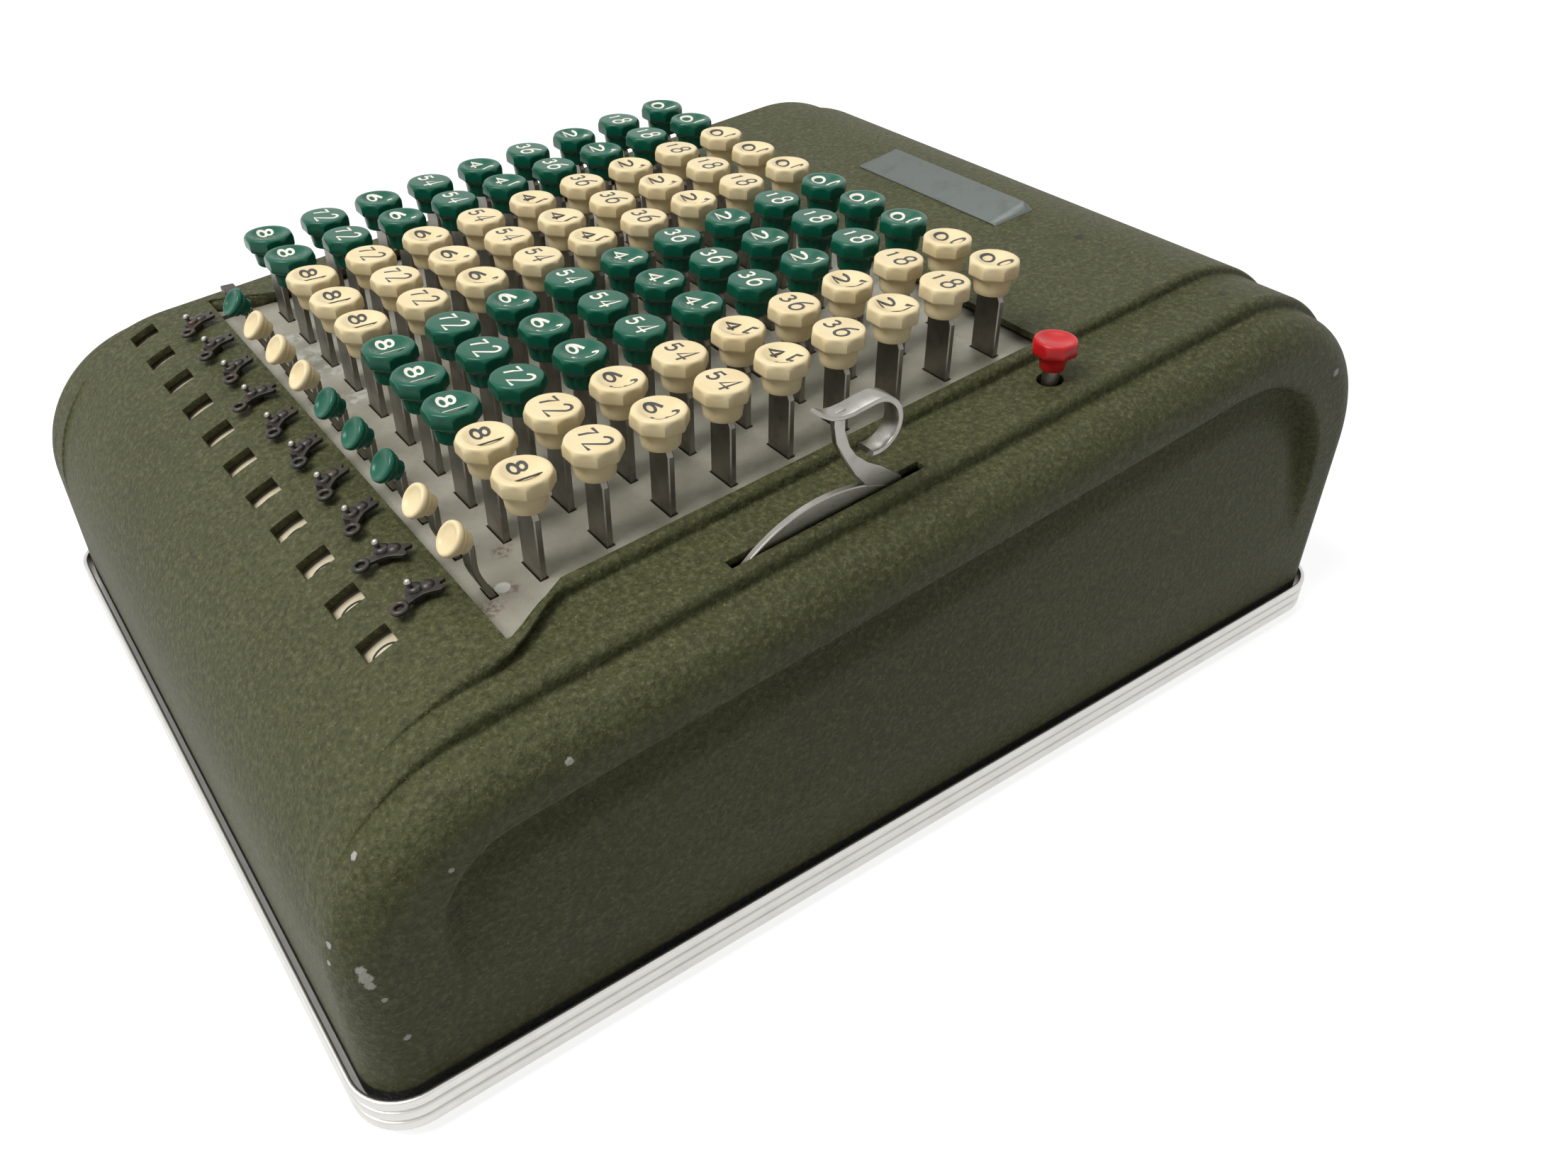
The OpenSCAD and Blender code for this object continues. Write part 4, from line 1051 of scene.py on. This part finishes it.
def makeClearLever():
    k = leverSizes

    def place(py, pz, px):
        return (k["x"] + px, k["pivotY"] + py, k["pivotZ"] + pz)
    plate, hook = Shape(), Shape()
    half = k["thick"] / 2
    rim = arc(0.0, 0.0, k["rim"], k["rim"], *k["rimArc"], 48)
    plate.prism([(0.0, 0.0)] + rim, place, -half, half)
    plate.prism(k["web"], place, -half + k["webInset"], half - k["webInset"])
    path = [*k["hookTip"], *arc(*k["hookMiddle"], k["hookRadius"], k["hookRadius"], *k["hookArc"], 22)]
    w, t, e = k["hookWidth"] / 2, k["hookThick"] / 2, k["hookEdge"]
    c = e * 0.3
    section = [(-w, -t + e), (-w + c, -t + c), (-w + e, -t), (w - e, -t), (w - c, -t + c), (w, -t + e)]
    section += [(-sx, -sh) for sx, sh in section]
    rings = []
    for i, ((py, pz), (dy, dz)) in enumerate(zip(path, headings(path))):
        size = hypot(dy, dz)
        ny, nz = -dz / size, dy / size
        narrow = 0.72 + 0.28 * smooth(i / 4)    # the strip's tip is narrower and thinner
        thin = 0.6 + 0.4 * smooth(i / 5)
        rings.append([place(py + ny * sh * thin, pz + nz * sh * thin, sx * narrow) for sx, sh in section])
    hook.loft(rings)
    body = "clear_lever_body"
    piece("clearLeverPlate", plate, body, nickelPlate, ("clear_lever",), 40, 0.3)
    piece("clearLeverHook", hook, body, nickelPlate)


makeClearLever()

releaseSizes = {    # red release key: eight-sided cap on a collar and stem, by radius and height
    "x": 110.0,
    "y": 46.4,
    "rise": 13.0,
    "collar": ((0.05, -9.0), (3.2, -9.0), (3.5, -8.7), (3.7, -6.8), (3.9, -5.3), (4.3, -4.6), (0.05, -4.6)),
    "stem": ((0.05, -39.0), (2.4, -39.0), (2.4, -8.9), (0.05, -8.9)),
    # radius, share of the octagon, height
    "cap": ((0.05, 0.0, -4.7), (4.9, 0.0, -4.7), (5.6, 1.0, -4.5), (6.1, 1.0, -4.1), (6.35, 1.0, -3.5),
        (6.35, 1.0, -1.9), (6.3, 0.8, -1.35), (6.2, 0.4, -0.9), (6.05, 0.1, -0.5), (5.85, 0.0, -0.2),
        (5.5, 0.0, -0.03), (5.1, 0.0, 0.0), (4.7, 0.0, -0.05), (3.9, 0.0, -0.35), (2.8, 0.0, -0.66),
        (1.6, 0.0, -0.9), (0.6, 0.0, -1.0), (0.05, 0.0, -1.02)),
}


def makeReleaseKey():
    k = releaseSizes
    z = plateZ(k["y"]) + k["rise"]

    def place(px, py, pz):
        return (k["x"] + px, k["y"] + py, z + pz)
    cap, collar, stem = Shape(), Shape(), Shape()
    rings = []
    for radius, share, h in k["cap"]:
        def reach(a, radius=radius, share=share):
            return radius * (1 - share) + share * octagon(a, radius * 0.95, radius * 1.03)
        rings.append(ring(reach, z + h, 48, k["x"], k["y"]))
    cap.loft(rings)
    turned(collar, k["collar"], 32, place)
    turned(stem, k["stem"], 24, place)
    piece("releaseCap", cap, "release", redPlastic, ("release_key",))
    piece("releaseCollar", collar, "release", redPlastic)
    piece("releaseStem", stem, "release", stemSteel)


makeReleaseKey()
print("side levers made")

tabSizes = {    # small bent lever at the front left corner of the keyboard
    "x": -100.8,
    "y": -112.45,
    "pivotZ": 94.387,
    "thick": 1.6,
    "outline": ((-3.4, -0.9), (-2.2, -2.6), (0.0, -3.4), (2.2, -2.6), (3.4, -0.9), (3.4, 1.0), (2.5, 4.0),
        (2.5, 17.0), (-2.5, 17.0), (-2.5, 4.0), (-3.4, 1.0)),
    "top": ((-2.5, 15.6), (1.8, 15.6), (1.8, 17.2), (-2.5, 17.2)),
    "topReach": (-4.6, 2.6),
}


def makeTab():
    k = tabSizes

    def place(py, pz, px):
        return (k["x"] + px, k["y"] + py, k["pivotZ"] + pz)
    shape = Shape()
    shape.prism(k["outline"], place, 0.0, k["thick"])
    shape.prism(k["top"], place, *k["topReach"])
    piece("tabBar", shape, "tab", bluedSteel, ("tab_lever",), 40, 0.35)


makeTab()

dialSizes = {    # rims and numerals on the dial wheels
    "y": -131.788,
    "z": 79.870,
    "radius": 20.0,
    "rimLeft": -9.2,
    "rimRight": -4.4,
    "rimInner": 19.1,
    "rimSteps": 96,
    "width": 3.0,
    "height": 6.2,
    "stroke": 0.7,
    "facing": radians(113.9),
}


def addDialNumerals(shape, x):
    k = dialSizes
    for digit in range(10):
        start = k["facing"] + radians(36 * digit)

        def place(px, py, lift, start=start):
            a = start - py / k["radius"]
            reach = k["radius"] + lift
            return (x + px, k["y"] + reach * cos(a), k["z"] + reach * sin(a))
        addDigit(shape, digit, place, 0.0, k["width"], k["height"], k["stroke"])


def addDialRim(shape, x):    # the dial's band, left of the drum, that fills its window
    k = dialSizes
    left, right, low, high = k["rimLeft"], k["rimRight"], k["rimInner"], k["radius"]
    section = ((low, left), (low, right), (high, right), (high, left))
    hollow(shape, section, k["rimSteps"], lambda py, pz, px: (x + px, k["y"] + py, k["z"] + pz))


def everyWheel(add):    # the ten wheels that turn as one, and the units wheel
    left, units = Shape(), Shape()
    for column in range(10):
        add(left, colX(column))
    add(units, colX(10))
    return left, units


leftRims, unitsRim = everyWheel(addDialRim)
leftNumerals, unitsNumerals = everyWheel(addDialNumerals)
piece("dialRims", leftRims, "register_wheels_body", dialPaint)
piece("unitsRim", unitsRim, "units_wheel_body", dialPaint)
piece("dialNumerals", leftNumerals, "register_wheels_body", blackFill, (), 60)
piece("unitsNumerals", unitsNumerals, "units_wheel_body", blackFill, (), 60)

plateSizes = {    # bare nameplate behind the keyboard
    "halfWidth": 35.5,
    "frontY": 97.0,
    "height": 2.9,
    "least": 0.12,
    "rise": 4.0,
    "ends": ((0.0, 0.0), (0.5, 0.3), (2.6, 0.97), (3.1, 1.0)),    # from an end, share of the height
    "section": ((0.0, 0.0), (0.1, 0.35), (0.6, 0.62), (14.6, 2.6), (15.6, 2.85), (16.1, 2.6), (17.5, 0.0)),
}


def makeNameplate():
    k = plateSizes
    place = leaned(0.0, k["frontY"], plateZ(k["frontY"]) + k["rise"], machine["tilt"])
    shape = Shape()
    half = k["halfWidth"]
    stations = [(-half + d, share) for d, share in k["ends"]]
    stations += [(half - d, share) for d, share in reversed(k["ends"])]
    rings = []
    for x, share in stations:
        high = max(k["least"], k["height"] * share)
        rings.append([place(x, py, min(pz, high)) for py, pz in k["section"]])
    shape.loft(rings)
    piece("namePlate", shape, "machine", barePlate, ("nameplate",), 30, 0.15)


makeNameplate()
print("small pieces made")

stageSizes = {
    "floor": 30.0,
    "floorShade": 0.42,    # what the floor gives back to the object
    "floorGlow": 0.76,    # added for the camera, so that it shows white with a shadow
    "skyLight": 0.30,
}


def seen(tree):    # 1 for what the camera or a mirror sees, 0 for light on the object
    camera = tree.node("ShaderNodeLightPath", output="Is Camera Ray")
    mirror = tree.node("ShaderNodeLightPath", output="Is Glossy Ray")
    return camera.calc("MAXIMUM", camera, mirror)


def makeStage():
    k = stageSizes
    white = (1.0, 1.0, 1.0, 1.0)
    bpy.ops.mesh.primitive_plane_add(size=k["floor"], location=(0, 0, 0))
    floor = bpy.context.object
    floor.name = "floor"
    stage = bpy.data.materials.new("stageWhite")
    tree = Tree(stage)
    shade = k["floorShade"]
    diffuse = tree.node("ShaderNodeBsdfDiffuse", None, {"Color": (shade, shade, shade, 1.0)})
    power = seen(tree) * k["floorGlow"]
    glow = tree.node("ShaderNodeEmission", None, {"Color": white, "Strength": power})
    both = tree.node("ShaderNodeAddShader", None, {0: diffuse, 1: glow})
    tree.node("ShaderNodeOutputMaterial", None, {0: both})
    floor.data.materials.append(stage)
    world = bpy.data.worlds.new("studio")
    bpy.context.scene.world = world
    tree = Tree(world)
    light, backdrop = [tree.node("ShaderNodeBackground", None, {"Color": white, "Strength": strength})
                       for strength in (k["skyLight"], 1.0)]
    both = tree.node("ShaderNodeMixShader", None, {0: seen(tree), 1: light, 2: backdrop})
    tree.node("ShaderNodeOutputWorld", None, {0: both})


def addLamp(name, where, aim, size, watts):
    lamp = bpy.data.lights.new(name, "AREA")
    lamp.shape = "RECTANGLE"
    lamp.size, lamp.size_y = size
    lamp.energy = watts
    holder = bpy.data.objects.new(name, lamp)
    bpy.context.scene.collection.objects.link(holder)
    holder.location = where
    holder.rotation_euler = (Vector(aim) - Vector(where)).to_track_quat("-Z", "Y").to_euler()


cameraFacts = {
    "eye": (0.313607, -0.200417, 0.283295),
    "forward": (-0.63665, 0.49572, -0.59071),
    "right": (0.60247, 0.79788, 0.02026),
    "lens": 28.81,
    "shift": (-0.0060, -0.0125),
}


def makeCamera():
    c = cameraFacts
    forward = Vector(c["forward"]).normalized()
    right = Vector(c["right"])
    right = (right - right.dot(forward) * forward).normalized()
    up = right.cross(forward)
    camera = bpy.data.cameras.new("photoCamera")
    camera.lens = c["lens"]
    camera.sensor_width = 36.0
    camera.sensor_fit = "HORIZONTAL"
    camera.shift_x, camera.shift_y = c["shift"]
    camera.clip_start = 0.01
    holder = bpy.data.objects.new("photoCamera", camera)
    bpy.context.scene.collection.objects.link(holder)
    turn = Matrix((right, up, -forward)).transposed().to_4x4()
    holder.matrix_world = Matrix.Translation(Vector(c["eye"])) @ turn
    bpy.context.scene.camera = holder


makeStage()
addLamp("keyLight", (-0.05, -0.85, 1.40), (0, 0, 0.08), (0.8, 0.8), 23.0)
addLamp("topLight", (-0.3, 0.4, 1.7), (0, 0, 0.1), (1.2, 0.9), 7.0)
makeCamera()
bpy.context.scene.view_settings.view_transform = "Standard"
